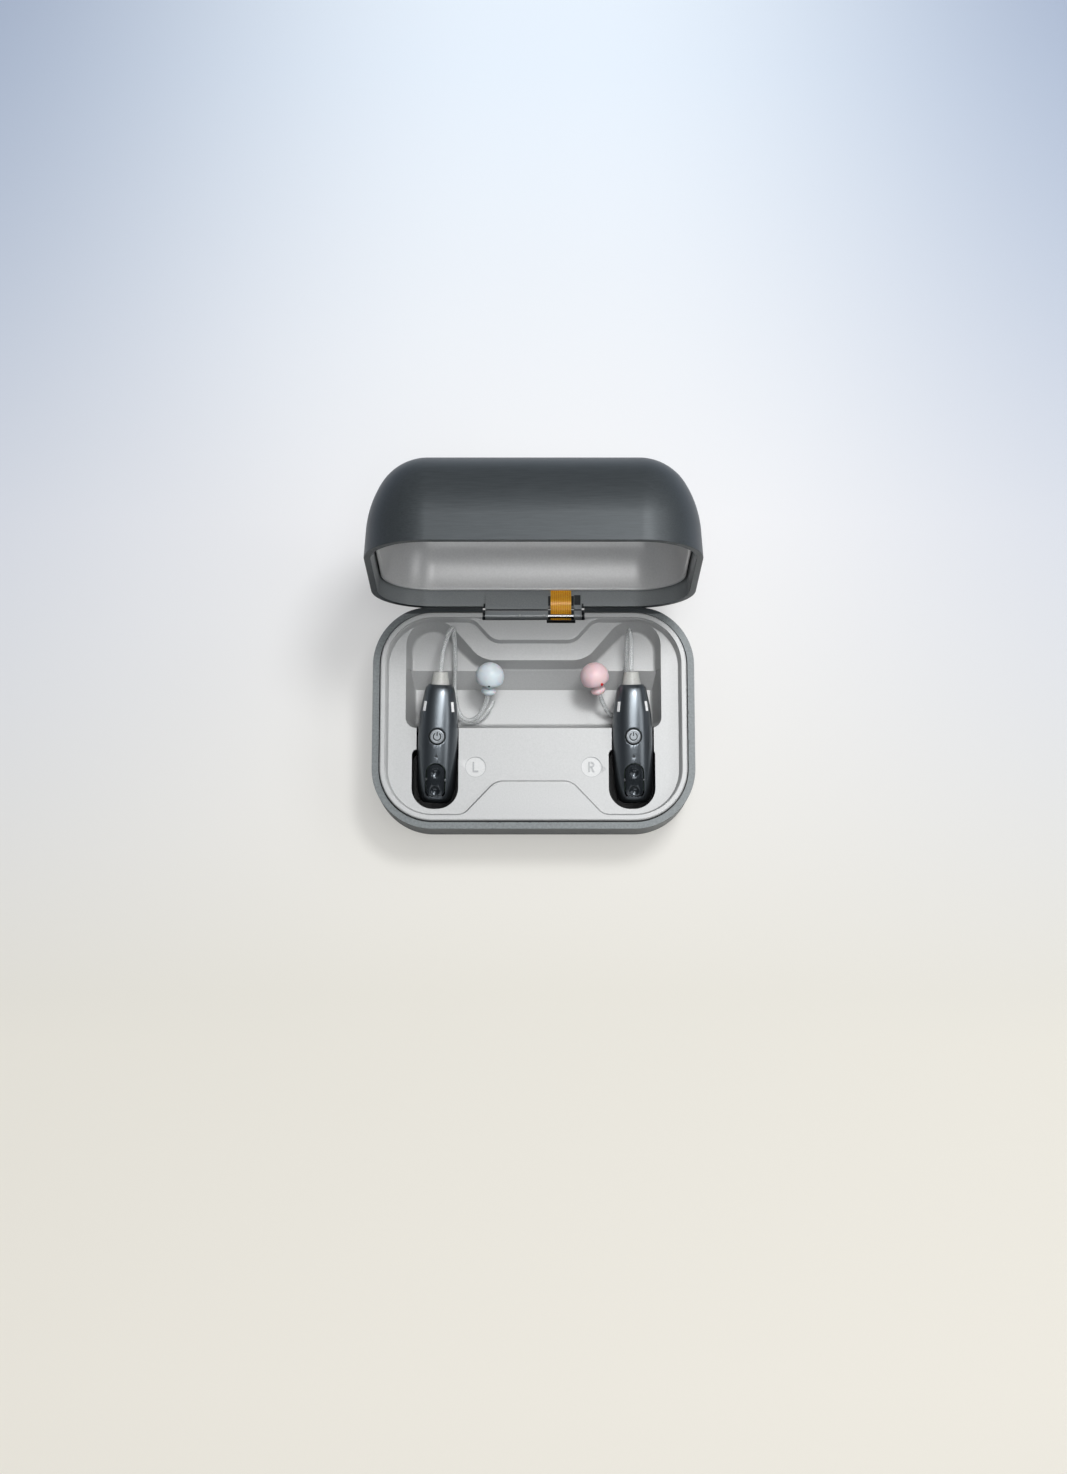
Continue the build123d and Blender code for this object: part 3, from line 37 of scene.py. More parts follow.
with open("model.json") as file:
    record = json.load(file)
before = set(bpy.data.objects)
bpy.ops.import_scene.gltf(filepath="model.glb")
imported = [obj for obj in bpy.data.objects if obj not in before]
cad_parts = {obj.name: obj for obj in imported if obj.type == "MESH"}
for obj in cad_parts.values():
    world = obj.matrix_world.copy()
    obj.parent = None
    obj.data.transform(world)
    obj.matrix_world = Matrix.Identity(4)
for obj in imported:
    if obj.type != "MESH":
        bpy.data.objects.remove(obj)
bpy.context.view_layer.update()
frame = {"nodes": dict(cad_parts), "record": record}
MM = 0.001

# Case
CASE_HALF = (45.0, 31.75)
CORNER_RADIUS = 17.0
WALL = 1.9
RIM_HEIGHT = 20.0
LID_RIM = 20.15
LID_HEIGHT = 27.6
LID_DRAFT = radians(3.7)
LID_ARCS = [(29.8, radians(29.75)), (14.457, radians(90))]
BASE_DRAFT = radians(1.5)
BASE_ARCS = [(8.0, radians(90))]
LEDGE_TOP = 18.8
LEDGE_DEPTH = 1.5
LEDGE_WIDTH = 0.9
EDGE_ROUNDING = 0.22

# Hinge
HINGE_Y, HINGE_Z = 29.45, 17.25
HINGE_DROP = 2.75
OPEN_ANGLE = radians(92.1)
NOTCH_HALF = 14.35
NOTCH_FRONT_Y = 27.6
NOTCH_FLOOR = 15.6
BARREL_RADIUS, PIN_RADIUS, WASHER_RADIUS, WASHER_GAP = 1.25, 0.6, 1.05, 0.06
ARM_HALF, ARM_REACH, SLOT_WEB = 13.6, 2.85, 0.75
# Room for the cable in the tray: its left and right edges and its depth
CABLE_GAP = (3.7, 11.8, 0.85)
SLOT = (4.1, 11.4)
GROOVE, GROOVE_DEPTH = 0.42, 0.5
NUBS = (-3.9, 3.0)

# Chips in the rim's lacquer, as place along the side and length
FRONT_CHIPS = [
    (-12.6, 0.7), (-11.2, 0.35), (-9.3, 0.9), (-7.9, 0.3), (-4.4, 0.5), (-1.0, 0.9), (1.4, 0.4), (4.2, 0.6),
    (6.6, 0.3),
]
RIGHT_CHIPS = [(5.6, 0.4), (1.2, 1.4), (-1.6, 0.5), (-4.3, 0.9), (-7.4, 1.3), (-9.6, 0.4)]

# Lining of the lid
LINER_INSET = 2.4
LINER_THICKNESS = 1.0
LINER_RECESS = 4.4
LINER_HEIGHT = 24.5

# Light window in the lid's crown
WINDOW_Y = -6.0
WINDOW_WIDTH, WINDOW_DEPTH = 12.6, 2.4

# USB-C mouth
PORT_Z = 9.63
PORT_WIDTH, PORT_HEIGHT = 9.24, 3.56

# Hearing aids: place of the lower end, turn and tilt
AIDS = {"left": (-27.5, -2.6), "right": (28.15, 1.4)}
AID_Y, AID_AXIS_Z, AID_TILT = -23.0, 12.5, 14.0
POWER_AT, POWER_TOP = 18.7, 6.26
POWER_DISC, POWER_COLLAR, POWER_HOLE = 1.95, 2.25, 2.42
AID_SPLIT, AID_WALL = 1.6, 1.1
ROCKER_FROM, ROCKER_TO, ROCKER_WIDTH, ROCKER_GAP = 1.9, 11.1, 5.2, 0.22
PINHOLE_AT, PINHOLE_RADIUS, PINHOLE_TOP = 13.1, 0.34, 6.05
MIC_AT, MIC_OUT, MIC_HEIGHT, MIC_LEAN = 27.0, 3.9, 3.96, 48.0
MIC_WIDTH, MIC_LENGTH = 0.9, 2.7

# Outer form of an aid: place along it, width, and the heights of its belly and spine
AID_FORM = [
    (0.0, 6.8, -3.6, 3.1), (0.5, 8.1, -4.4, 3.8), (1.4, 9.2, -5.1, 4.4), (4.5, 10.6, -5.9, 5.3),
    (11.0, 11.2, -6.2, 6.0), (18.0, 11.3, -6.1, 6.3), (25.0, 10.5, -5.6, 5.9), (30.0, 8.9, -4.7, 5.1),
    (32.1, 7.9, -4.0, 4.4), (33.0, 6.5, -3.2, 3.6),
]
SECTION_POWER = 2.35

# Round L and R fields in the deck
MARK_X, MARK_Y, MARK_RADIUS = 16.15, -14.05, 2.8
MARK_FLOOR, DECK = 17.95, 18.2

# Sound tubes
TUBE_RADIUS, TUBE_WALL = 0.65, 0.3
TAIL_RADIUS = 0.45
NOZZLE_SEAT, NOZZLE_MOUTH, NOZZLE_RISE = 34.5, 36.5, 0.8
NOZZLE_RUN = 2.6
TUBE_ROUTES = {
    "left": [
        (-24.9, 19.4, 23.7), (-23.5, 23.8, 23.0), (-22.4, 25.4, 21.0), (-22.3, 23.4, 19.5),
        (-22.1, 19.6, 17.1), (-22.1, 14.6, 15.2), (-22.2, 8.6, 13.6), (-21.6, 2.8, 12.7),
        (-19.0, 0.0, 12.6), (-16.0, 0.6, 13.6), (-13.8, 3.4, 15.3),
    ],
    "right": [
        (27.4, 19.6, 23.5), (27.1, 24.0, 22.2), (26.7, 25.2, 18.8), (26.4, 22.6, 16.2), (26.2, 17.6, 15.4),
        (26.0, 12.6, 14.3), (25.4, 7.4, 12.1), (24.0, 3.2, 11.2), (22.0, 1.6, 12.0), (20.2, 3.4, 14.4),
    ],
}
TAIL_ROUTE = [
    (-21.4, 1.6, 11.1), (-19.6, -0.1, 11.2), (-16.6, -0.3, 11.7), (-14.0, 1.2, 12.8), (-12.0, 3.4, 14.2),
    (-11.2, 5.4, 15.1),
]

# Ear domes
DOME_CENTRES = {"left": (-12.2, 11.2, 20.7), "right": (17.1, 11.2, 20.7)}
DOME_AIMS = {"left": (0.5, 5.0, 3.2), "right": (-1.6, 5.2, 3.6)}
DOME_RADIUS, DOME_WALL, DOME_SKIRT = 4.0, 0.55, 1.7
SLEEVE_RADIUS, SLEEVE_LENGTH, SLEEVE_SEAT = 1.2, 5.2, 2.0
COLLAR_RADIUS, COLLAR_LENGTH = 2.1, 2.0

# Orange cable over the hinge
FLEX_X, FLEX_WIDTH, FLEX_THICKNESS = 7.75, 5.8, 0.15
TRACE_WIDTH, TRACE_PROUD, TRACE_PITCH, TRACE_COUNT = 0.2, 0.04, 0.62, 9

# Share of the floor's colour that the camera sees whatever the light, which keeps the shadow pale
FLOOR_GLOW = 0.5

STEPS = 28


def linear(hex_code, alpha=1.0):
    """An sRGB hex value as linear red, green, blue and alpha."""
    parts = [int(hex_code[i:i + 2], 16) / 255 for i in (1, 3, 5)]
    return [c / 12.92 if c <= 0.04045 else ((c + 0.055) / 1.055) ** 2.4 for c in parts] + [alpha]


def add(tree, kind, settings=None, values=None, links=None):
    """A node with its settings, its socket values and the links into it."""
    made = tree.nodes.new(kind)
    for name, value in (settings or {}).items():
        setattr(made, name, value)
    for name, value in (values or {}).items():
        made.inputs[name].default_value = value
    for name, source in (links or {}).items():
        tree.links.new(source, made.inputs[name])
    return made


def in_millimetres(tree, stretch=(1, 1, 1)):
    """Object coordinates in millimetres, stretched to give a pattern its grain."""
    place = add(tree, "ShaderNodeTexCoord")
    scale = [s / MM for s in stretch]
    links = {"Vector": place.outputs["Object"]}
    return add(tree, "ShaderNodeMapping", values={"Scale": scale}, links=links).outputs[0]


def ramp(tree, source, stops):
    """A colour ramp through (place, hex) stops."""
    made = add(tree, "ShaderNodeValToRGB", links={"Fac": source})
    elements = made.color_ramp.elements
    while len(elements) < len(stops):
        elements.new(0.5)
    for element, (place, colour) in zip(elements, stops):
        element.position = place
        element.color = linear(colour)
    return made.outputs["Color"]


def spread(tree, source, low, high):
    """A 0 to 1 value brought between two limits."""
    made = add(tree, "ShaderNodeMapRange", values={"To Min": low, "To Max": high}, links={"Value": source})
    return made.outputs["Result"]


def finish_of(name, dark, light, grain, roughness, bump=0.0, stretch=(1, 1, 1), **sockets):
    """A surface whose colour and roughness wander between two values over a grain given in millimetres."""
    material = bpy.data.materials.new(name)
    material.use_nodes = True
    tree = material.node_tree
    tree.nodes.clear()
    place = in_millimetres(tree, stretch)
    noise = add(
        tree, "ShaderNodeTexNoise", values={"Scale": 1 / grain, "Detail": 3.0, "Roughness": 0.6},
        links={"Vector": place},
    )
    surface = add(tree, "ShaderNodeBsdfPrincipled")
    colour = ramp(tree, noise.outputs["Fac"], [(0.3, dark), (0.7, light)])
    tree.links.new(colour, surface.inputs["Base Color"])
    tree.links.new(spread(tree, noise.outputs["Fac"], *roughness), surface.inputs["Roughness"])
    for socket, value in sockets.items():
        surface.inputs[socket.replace("_", " ")].default_value = value
    if bump:
        relief = add(
            tree, "ShaderNodeBump", values={"Strength": 0.6, "Distance": bump * MM},
            links={"Height": noise.outputs["Fac"]},
        )
        tree.links.new(relief.outputs["Normal"], surface.inputs["Normal"])
    add(tree, "ShaderNodeOutputMaterial", links={"Surface": surface.outputs["BSDF"]})
    return material


def shell_lacquer():
    """Satin gunmetal lacquer over a finely brushed alloy: dark, with faint streaks along the case."""
    return finish_of(
        "satin_gunmetal_lacquer", "#3C4144", "#464B4E", 0.3, (0.42, 0.52), bump=0.003, stretch=(0.05, 1, 1),
        Metallic=0.4, Coat_Weight=0.08, Coat_Roughness=0.3,
    )


def rim_lacquer():
    """The bowl's rim: the same lacquer rubbed down to a lighter, brushed grey."""
    return finish_of(
        "brushed_rim", "#5E6365", "#757A7B", 0.22, (0.4, 0.55), bump=0.004, stretch=(0.3, 0.3, 1),
        Metallic=0.25,
    )


def silver_plastic():
    """Moulded ABS with silver pigment: pale grey with a soft sheen and a very fine spark texture."""
    return finish_of(
        "silver_pigment_abs", "#ABACAC", "#B4B5B5", 0.4, (0.42, 0.5), bump=0.002, Metallic=0.2, IOR=1.5,
    )


def liner_plastic():
    """The lining's moulded ABS: the same silver pigment, smoother, so that it mirrors the room faintly."""
    return finish_of(
        "satin_silver_abs", "#CACACA", "#D3D3D3", 0.6, (0.3, 0.36), bump=0.001, Metallic=0.2, IOR=1.53,
    )


def black_plastic():
    """Black moulded ABS with a fine spark-eroded texture."""
    return finish_of("black_textured_abs", "#070708", "#0E0E10", 0.15, (0.42, 0.58), bump=0.02, IOR=1.53)


def arm_plastic():
    """Glass-filled nylon with a metallic pigment: mid grey, smooth and slightly mottled."""
    return finish_of("dark_filled_nylon", "#85898B", "#95999B", 0.25, (0.3, 0.42), bump=0.006, Metallic=0.35)


def pearl_gunmetal():
    """Sprayed pearl paint under clear lacquer: deep grey, with a broad soft highlight."""
    return finish_of(
        "pearl_gunmetal_paint", "#5F656A", "#757B80", 0.06, (0.3, 0.36), Metallic=0.95, Coat_Weight=0.25,
        Coat_Roughness=0.1,
    )


def dark_key_paint():
    """The same paint, a shade darker, on the rocker."""
    return finish_of(
        "dark_key_paint", "#2C3135", "#3A3F44", 0.06, (0.24, 0.3), Metallic=0.85, Coat_Weight=0.4,
        Coat_Roughness=0.08,
    )


def silver_key():
    """Fine-turned silver lacquer on the power button."""
    return finish_of(
        "turned_silver_lacquer", "#83888C", "#9DA2A6", 0.12, (0.3, 0.42), bump=0.006, stretch=(1, 0.2, 1),
        Metallic=0.8,
    )


def bright_steel():
    """Centreless-ground steel: bright, with fine rings round the pin."""
    return finish_of(
        "ground_steel", "#B9BCBE", "#D6D8DA", 0.1, (0.16, 0.3), bump=0.003, stretch=(8, 1, 1), Metallic=1.0,
    )


def polyimide_film():
    """Polyimide film over copper: glossy amber orange."""
    return finish_of("polyimide_film", "#FFB41E", "#FFC83C", 0.8, (0.26, 0.34), IOR=1.5)


def film_trace():
    """Copper under the film: darker lines along the cable."""
    return finish_of("copper_under_film", "#EE8C10", "#F69C22", 0.4, (0.24, 0.32), Metallic=0.1)


def clear_tube():
    """Clear medical tubing: glassy, with a faint grey cast at its edges."""
    return finish_of(
        "clear_tubing", "#F4F6F6", "#FCFDFD", 2.0, (0.12, 0.2), IOR=1.22, Transmission_Weight=0.75,
    )


def frosted_sleeve():
    """Frosted silicone: milky, lets light through."""
    return finish_of(
        "frosted_silicone", "#D2D2CC", "#E6E6E2", 0.6, (0.3, 0.42), IOR=1.41, Transmission_Weight=0.4,
    )


def soft_silicone(name, dark, light):
    """Moulded soft silicone that lets a little light in, with the cast of its pigment."""
    return finish_of(
        name, dark, light, 2.5, (0.3, 0.4), IOR=1.41, Subsurface_Weight=0.25, Subsurface_Scale=0.0008,
    )


def simple_finishes():
    """Finishes of the pieces inside, and of small trim."""
    return {
        "solder_mask": finish_of("green_solder_mask", "#0F3A1E", "#17512A", 0.5, (0.3, 0.4), bump=0.01),
        "moulded_chip": finish_of("moulded_epoxy", "#151515", "#222222", 0.1, (0.5, 0.65), bump=0.01),
        "gold": finish_of("flash_gold", "#C99A3C", "#E2B856", 0.2, (0.18, 0.3), Metallic=1.0),
        "nickel": finish_of("plated_nickel", "#B4B4B2", "#CFCFCC", 0.3, (0.15, 0.28), Metallic=1.0),
        "can": finish_of("drawn_steel_can", "#8F9294", "#A9ACAE", 0.3, (0.25, 0.4), Metallic=1.0),
        "sleeve": finish_of("shrink_sleeve", "#20242C", "#2C313A", 1.0, (0.3, 0.45), bump=0.02),
        "white_film": finish_of("white_film", "#D0D0CC", "#E2E2DE", 0.8, (0.4, 0.5)),
        "white_insert": finish_of("white_filter_mesh", "#D9DADA", "#FFFFFF", 0.18, (0.5, 0.7), bump=0.03),
        "window": finish_of(
            "smoked_window", "#B9C0C8", "#CDD4DB", 0.8, (0.08, 0.16), IOR=1.49, Transmission_Weight=0.7,
        ),
        "lamp": finish_of("lamp_lens", "#D8D29A", "#F2EDBE", 0.3, (0.2, 0.3)),
        # Dark ink for the power mark, the collars and the rim's chips, also used as painted shade in the
        # hinge's gaps, the arm's groove and the pinholes.
        "ink_and_painted_shade": finish_of("dark_ink_and_painted_shade", "#14181B", "#22272B", 0.1, (0.35, 0.5)),
        "field": finish_of("polished_field", "#B9BABA", "#C3C4C4", 0.5, (0.44, 0.5), Metallic=0.2),
        "letter": finish_of("letter_grey_and_edge_shade", "#8E9091", "#A0A2A3", 0.2, (0.4, 0.5), Metallic=0.3),
        "blue_dot": finish_of("blue_black_ink", "#121A2C", "#1C2740", 0.1, (0.3, 0.4)),
        "red_dot": finish_of("red_ink", "#C2181A", "#E02A28", 0.1, (0.3, 0.4)),
    }


def body_of(node):
    """The body that a node of the model belongs to."""
    for body, nodes in frame["record"]["behaviour"]["bodies"].items():
        if node in nodes:
            return body
    raise KeyError(node)


def new_object(name, mesh):
    made = bpy.data.objects.new(name, mesh)
    bpy.context.collection.objects.link(made)
    return made


def from_bmesh(name, shape, *materials, scale=MM):
    """A mesh object from a bmesh in millimetres."""
    bmesh.ops.scale(shape, vec=(scale, scale, scale), verts=shape.verts)
    mesh = bpy.data.meshes.new(name)
    shape.to_mesh(mesh)
    shape.free()
    for material in materials:
        mesh.materials.append(material)
    return new_object(name, mesh)


def settled(obj):
    """Turn an object's modifiers into plain mesh."""
    bpy.context.view_layer.update()
    mesh = bpy.data.meshes.new_from_object(obj.evaluated_get(bpy.context.evaluated_depsgraph_get()))
    obj.modifiers.clear()
    obj.data = mesh
    return obj


def smoothed(obj, angle=35.0):
    """Smooth shading with creases where the surface turns sharply."""
    obj.data.shade_smooth()
    obj.data.set_sharp_from_angle(angle=radians(angle))
    weighted = obj.modifiers.new("weighted_normals", "WEIGHTED_NORMAL")
    weighted.keep_sharp = True
    weighted.weight = 80
    return obj


def softened(obj, width, segments=3, angle=35.0):
    """Round an object's sharp edges by a width in millimetres."""
    bevel = obj.modifiers.new("edge_rounding", "BEVEL")
    bevel.width = width * MM
    bevel.segments = segments
    bevel.limit_method = "ANGLE"
    bevel.angle_limit = radians(angle)
    bevel.harden_normals = False
    return settled(obj)


def placed(obj, node, extra=()):
    """Put a piece on its node's body, in its place, and hide the node's own mesh."""
    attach(obj, body_of(node))
    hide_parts(node, *extra)
    return obj


def trim(obj, node):
    """Put an added detail on a node's body."""
    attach(obj, body_of(node))
    return obj


def cut(obj, cutter):
    """Take the cutter's shape out of an object."""
    boolean = obj.modifiers.new("cut", "BOOLEAN")
    boolean.operation = "DIFFERENCE"
    boolean.solver = "EXACT"
    boolean.object = cutter
    settled(obj)
    bpy.data.objects.remove(cutter)
    return obj


def block(name, low, high, material):
    """A rectangular block between two corners in millimetres, used as a cutter or a plain piece."""
    shape = bmesh.new()
    bmesh.ops.create_cube(shape, size=1.0)
    for vert in shape.verts:
        vert.co = Vector((l + (c + 0.5) * (h - l) for c, l, h in zip(vert.co, low, high)))
    return from_bmesh(name, shape, material)


def outline_ring(inset, z):
    """Points of the case's rounded outline, moved in by inset, at one height."""
    round_radius = max(CORNER_RADIUS - inset, 0.05)
    points = []
    for corner, (sx, sy) in enumerate(((1, 1), (-1, 1), (-1, -1), (1, -1))):
        cx = sx * (CASE_HALF[0] - inset - round_radius)
        cy = sy * (CASE_HALF[1] - inset - round_radius)
        for step in range(STEPS + 1):
            a = (corner + step / STEPS) * pi / 2
            points.append((cx + round_radius * cos(a), cy + round_radius * sin(a), z))
    return points


def wall_profile(height, draft, arcs, inset, steps=14):
    """(inset, height) pairs up a drafted wall that turns over into a flat end."""
    angle, climb = draft, 0.0
    for radius, turn in arcs:
        climb += radius * (sin(turn) - sin(angle))
        angle = turn
    straight, angle = height - climb, draft
    inwards, up = straight * tan(draft), straight
    points = [(inset / cos(draft), 0.0)]
    for radius, turn in arcs:
        centre_in, centre_up = inwards + radius * cos(angle), up - radius * sin(angle)
        for step in range(steps + 1):
            a = angle + (turn - angle) * step / steps
            point = (centre_in - (radius - inset) * cos(a), centre_up + (radius - inset) * sin(a))
            if hypot(point[0] - points[-1][0], point[1] - points[-1][1]) > 1e-4:
                points.append(point)
        inwards, up, angle = centre_in - radius * cos(turn), centre_up + radius * sin(turn), turn
    return points


def loft(rings, rim_row=None):
    """A closed solid through rings of equally many points, flat at both ends.

    With a rim row, that row of faces takes the second finish and the rows after it the third."""
    shape = bmesh.new()
    rows = [[shape.verts.new(p) for p in ring] for ring in rings]
    for place, (low, high) in enumerate(zip(rows, rows[1:])):
        for i in range(len(low)):
            j = (i + 1) % len(low)
            face = shape.faces.new((low[i], low[j], high[j], high[i]))
            if rim_row is not None:
                face.material_index = (place >= rim_row) + (place > rim_row)
    shape.faces.new(rows[0])
    shape.faces.new(rows[-1]).material_index = 0 if rim_row is None else 2
    bmesh.ops.remove_doubles(shape, verts=shape.verts, dist=1e-5)
    bmesh.ops.recalc_face_normals(shape, faces=shape.faces)
    return shape


def lathe(profile, steps=48, about=Matrix.Identity(4)):
    """A solid of revolution about Z from (radius, height) pairs that start and end on the axis."""
    rings = []
    for radius, height in profile:
        r = max(radius, 1e-4)
        turns = [2 * pi * i / steps for i in range(steps)]
        rings.append([(r * cos(a), r * sin(a), height) for a in turns])
    shape = bmesh.new()
    rows = [[shape.verts.new(about @ Vector(p)) for p in ring] for ring in rings]
    for low, high in zip(rows, rows[1:]):
        for i in range(steps):
            j = (i + 1) % steps
            shape.faces.new((low[i], low[j], high[j], high[i]))
    bmesh.ops.remove_doubles(shape, verts=shape.verts, dist=1e-3)
    bmesh.ops.recalc_face_normals(shape, faces=shape.faces)
    return shape


def stadium(width, height, z, steps=12):
    """A rounded slot's outline."""
    radius = height / 2
    points = []
    for side in (1, -1):
        for step in range(steps + 1):
            a = -pi / 2 + pi * step / steps
            points.append((side * (width / 2 - radius + radius * cos(a)), side * radius * sin(a), z))
    return points


def opened():
    """The turn that brings the closed lid back to its stop."""
    about = Vector((0, HINGE_Y, HINGE_Z))
    return Matrix.Translation(about) @ Matrix.Rotation(-OPEN_ANGLE, 4, "X") @ Matrix.Translation(-about)


def turned_open(obj):
    """Turn a mesh made in the closed lid's frame back to the open lid."""
    turn = opened()
    for vert in obj.data.vertices:
        vert.co = (turn @ (vert.co / MM)) * MM
    return obj


def lid_shell(material, inside):
    """The lid: a domed shell, lacquered outside and bare inside, with a slot for its light window."""
    outer = wall_profile(LID_HEIGHT, LID_DRAFT, LID_ARCS, 0.0)
    inner = wall_profile(LID_HEIGHT, LID_DRAFT, LID_ARCS, WALL)
    rings = [outline_ring(inset, LID_RIM + up) for inset, up in reversed(outer)]
    rings += [outline_ring(inset, LID_RIM + up) for inset, up in inner]
    obj = from_bmesh("lid_outer_shell", loft(rings, len(outer) - 1), material, material, inside)
    slot = [
        [(x, y + WINDOW_Y, z) for x, y, _ in stadium(WINDOW_WIDTH, WINDOW_DEPTH, 0)]
        for z in (LID_RIM + LID_HEIGHT - 2 * WALL, LID_RIM + 2 * LID_HEIGHT)
    ]
    cut(obj, from_bmesh("window_cutter", loft(slot), material))
    turned_open(softened(obj, EDGE_ROUNDING))
    return placed(smoothed(obj), "lid_shell")


def lid_liner(material):
    """The pale lining, set back from the lid's rim."""
    rings = []
    for inset, flip in ((LINER_INSET, True), (LINER_INSET + LINER_THICKNESS, False)):
        wall = wall_profile(LINER_HEIGHT, LID_DRAFT, lowered_arcs(), inset)
        points = [(i, up) for i, up in wall if up > LINER_RECESS]
        start = (inset / cos(LID_DRAFT) + LINER_RECESS * tan(LID_DRAFT), LINER_RECESS)
        points = [start] + points
        if flip:
            points.reverse()
        rings += [outline_ring(i, LID_RIM + up) for i, up in points]
    obj = turned_open(softened(from_bmesh("lid_lining", loft(rings), material), 0.3))
    return placed(smoothed(obj), "lid_liner")


def lowered_arcs():
    """The lid's side arcs for the lining's lower crown."""
    (side, shoulder), _ = LID_ARCS
    side_in = side * (cos(LID_DRAFT) - cos(shoulder))
    side_up = side * (sin(shoulder) - sin(LID_DRAFT))
    left = CORNER_RADIUS - 0.1 - side_in - (LINER_HEIGHT - side_up) * tan(LID_DRAFT)
    crown = left / (cos(shoulder) - (1 - sin(shoulder)) * tan(LID_DRAFT))
    return [(side, shoulder), (crown, radians(90))]


def base_shell(material, rim, inside):
    """The bowl, with the gap for the hinge arm, the rounded rear rim and the socket's mouth."""
    outer = wall_profile(RIM_HEIGHT, BASE_DRAFT, BASE_ARCS, 0.0)
    inner = wall_profile(RIM_HEIGHT, BASE_DRAFT, BASE_ARCS, WALL)
    ledge = [(WALL, RIM_HEIGHT - LEDGE_TOP), (WALL + LEDGE_WIDTH, RIM_HEIGHT - LEDGE_TOP)]
    ledge += [(WALL + LEDGE_WIDTH, RIM_HEIGHT - LEDGE_TOP + LEDGE_DEPTH)]
    inner = inner[:1] + ledge + [p for p in inner if p[1] > RIM_HEIGHT - LEDGE_TOP + LEDGE_DEPTH]
    rings = [outline_ring(inset, RIM_HEIGHT - up) for inset, up in reversed(outer)]
    rings += [outline_ring(inset, RIM_HEIGHT - up) for inset, up in inner]
    obj = from_bmesh("base_bowl", loft(rings, len(outer) - 1), material, rim, inside)
    far = 2 * CASE_HALF[0]
    notch = block("notch", (-NOTCH_HALF, NOTCH_FRONT_Y, NOTCH_FLOOR), (NOTCH_HALF, far, far), material)
    cut(obj, notch)
    mouth = [
        [(x, CASE_HALF[1] + depth, PORT_Z + y) for x, y, _ in stadium(PORT_WIDTH, PORT_HEIGHT, 0)]
        for depth in (-2 * WALL, WALL)
    ]
    cut(obj, from_bmesh("mouth_cutter", loft(mouth), material))
    cut(obj, rear_rim_cutter(material))
    return placed(smoothed(softened(obj, EDGE_ROUNDING)), "base_shell")


def rear_rim_cutter(material):
    """What is rounded off the rear rim so that the lid can swing past it."""
    far = 2 * CASE_HALF[0]
    section = [(HINGE_Y, HINGE_Z + HINGE_DROP + 2)]
    section += [
        (HINGE_Y + HINGE_DROP * sin(a), HINGE_Z + HINGE_DROP * cos(a))
        for a in [radians(90) * i / 12 for i in range(13)]
    ]
    section += [(HINGE_Y + 3 * HINGE_DROP, HINGE_Z), (HINGE_Y + 3 * HINGE_DROP, HINGE_Z + HINGE_DROP + 2)]
    return from_bmesh("rear_cutter", loft([[(x, y, z) for y, z in section] for x in (-far, far)]), material)


def refined(node, name, material, angle=30.0, rounding=0.0, cutters=()):
    """A smooth copy of a node, its edges rounded, in place of the node's loose triangles."""
    source = frame["nodes"][node]
    shape = bmesh.new()
    shape.from_mesh(source.data)
    bmesh.ops.remove_doubles(shape, verts=shape.verts, dist=1e-6)
    bmesh.ops.dissolve_degenerate(shape, edges=shape.edges, dist=1e-7)
    mesh = bpy.data.meshes.new(name)
    shape.to_mesh(mesh)
    shape.free()
    mesh.materials.append(material)
    obj = new_object(name, mesh)
    for cutter in cutters:
        cut(obj, cutter)
    if rounding:
        softened(obj, rounding)
    return placed(smoothed(obj, angle), node)


def turned_block(name, low, high, material):
    """A block given in the closed lid's frame, turned back with the lid."""
    return turned_open(block(name, low, high, material))


def hinge_arm(material, dark, light):
    """The lid's arm: a plate and a barrel with a fine groove between them, dark strips of painted shade in the
    groove and in the gaps round the arm, and two small nubs under it.
    """
    front = HINGE_Y - BARREL_RADIUS
    far = 2 * NOTCH_HALF
    low, high = HINGE_Z + BARREL_RADIUS, HINGE_Z + BARREL_RADIUS + GROOVE
    cutter = turned_block(
        "groove_cutter", (-far, front - 1, low), (far, front + GROOVE_DEPTH, high), material,
    )
    arm = refined("lid_hinge_arm", "hinge_arm", material, angle=30, rounding=0.12, cutters=[cutter])
    bed = front + GROOVE_DEPTH
    # Dark strips down in the groove: painted shade, darker than the groove's own shading.
    groove_shade_strips = (("groove_shade_left", -ARM_HALF, SLOT[0]), ("groove_shade_right", SLOT[1], ARM_HALF))
    for name, start, stop in groove_shade_strips:
        inner, outer = (start + 0.1, bed - 0.12, low + 0.01), (stop - 0.1, bed + 0.05, high - 0.01)
        strip = turned_block(name, inner, outer, dark)
        trim(strip, "lid_hinge_arm")
    root = CASE_HALF[1] - WALL
    # Dark strips along the arm's ends, beside the cable's slot and right of it: painted shade in the gaps
    # round the arm.
    gap_shade_strips = [(-ARM_HALF - 0.55, -ARM_HALF, root), (ARM_HALF, ARM_HALF + 0.55, root)]
    web = root - SLOT_WEB
    gap_shade_strips += [(SLOT[0] + 0.05, SLOT[0] + 0.75, web), (SLOT[1] - 0.75, SLOT[1] - 0.05, web)]
    gap_shade_strips.append((SLOT[1] + 0.1, ARM_HALF - 0.35, front))
    for number, (left, right, bed) in enumerate(gap_shade_strips):
        strip = turned_block(
            f"hinge_seal_{number}", (left, bed - 0.06, LID_RIM), (right, bed + 0.1, LID_RIM + ARM_REACH), dark,
        )
        trim(strip, "lid_hinge_arm")
    for number, x in enumerate(NUBS):
        low, high = (x - 0.3, front - 0.22, HINGE_Z - 0.5), (x + 0.3, front + 0.15, HINGE_Z + 0.1)
        trim(softened(turned_block(f"barrel_nub_{number}", low, high, light), 0.08), "lid_hinge_arm")
    return arm


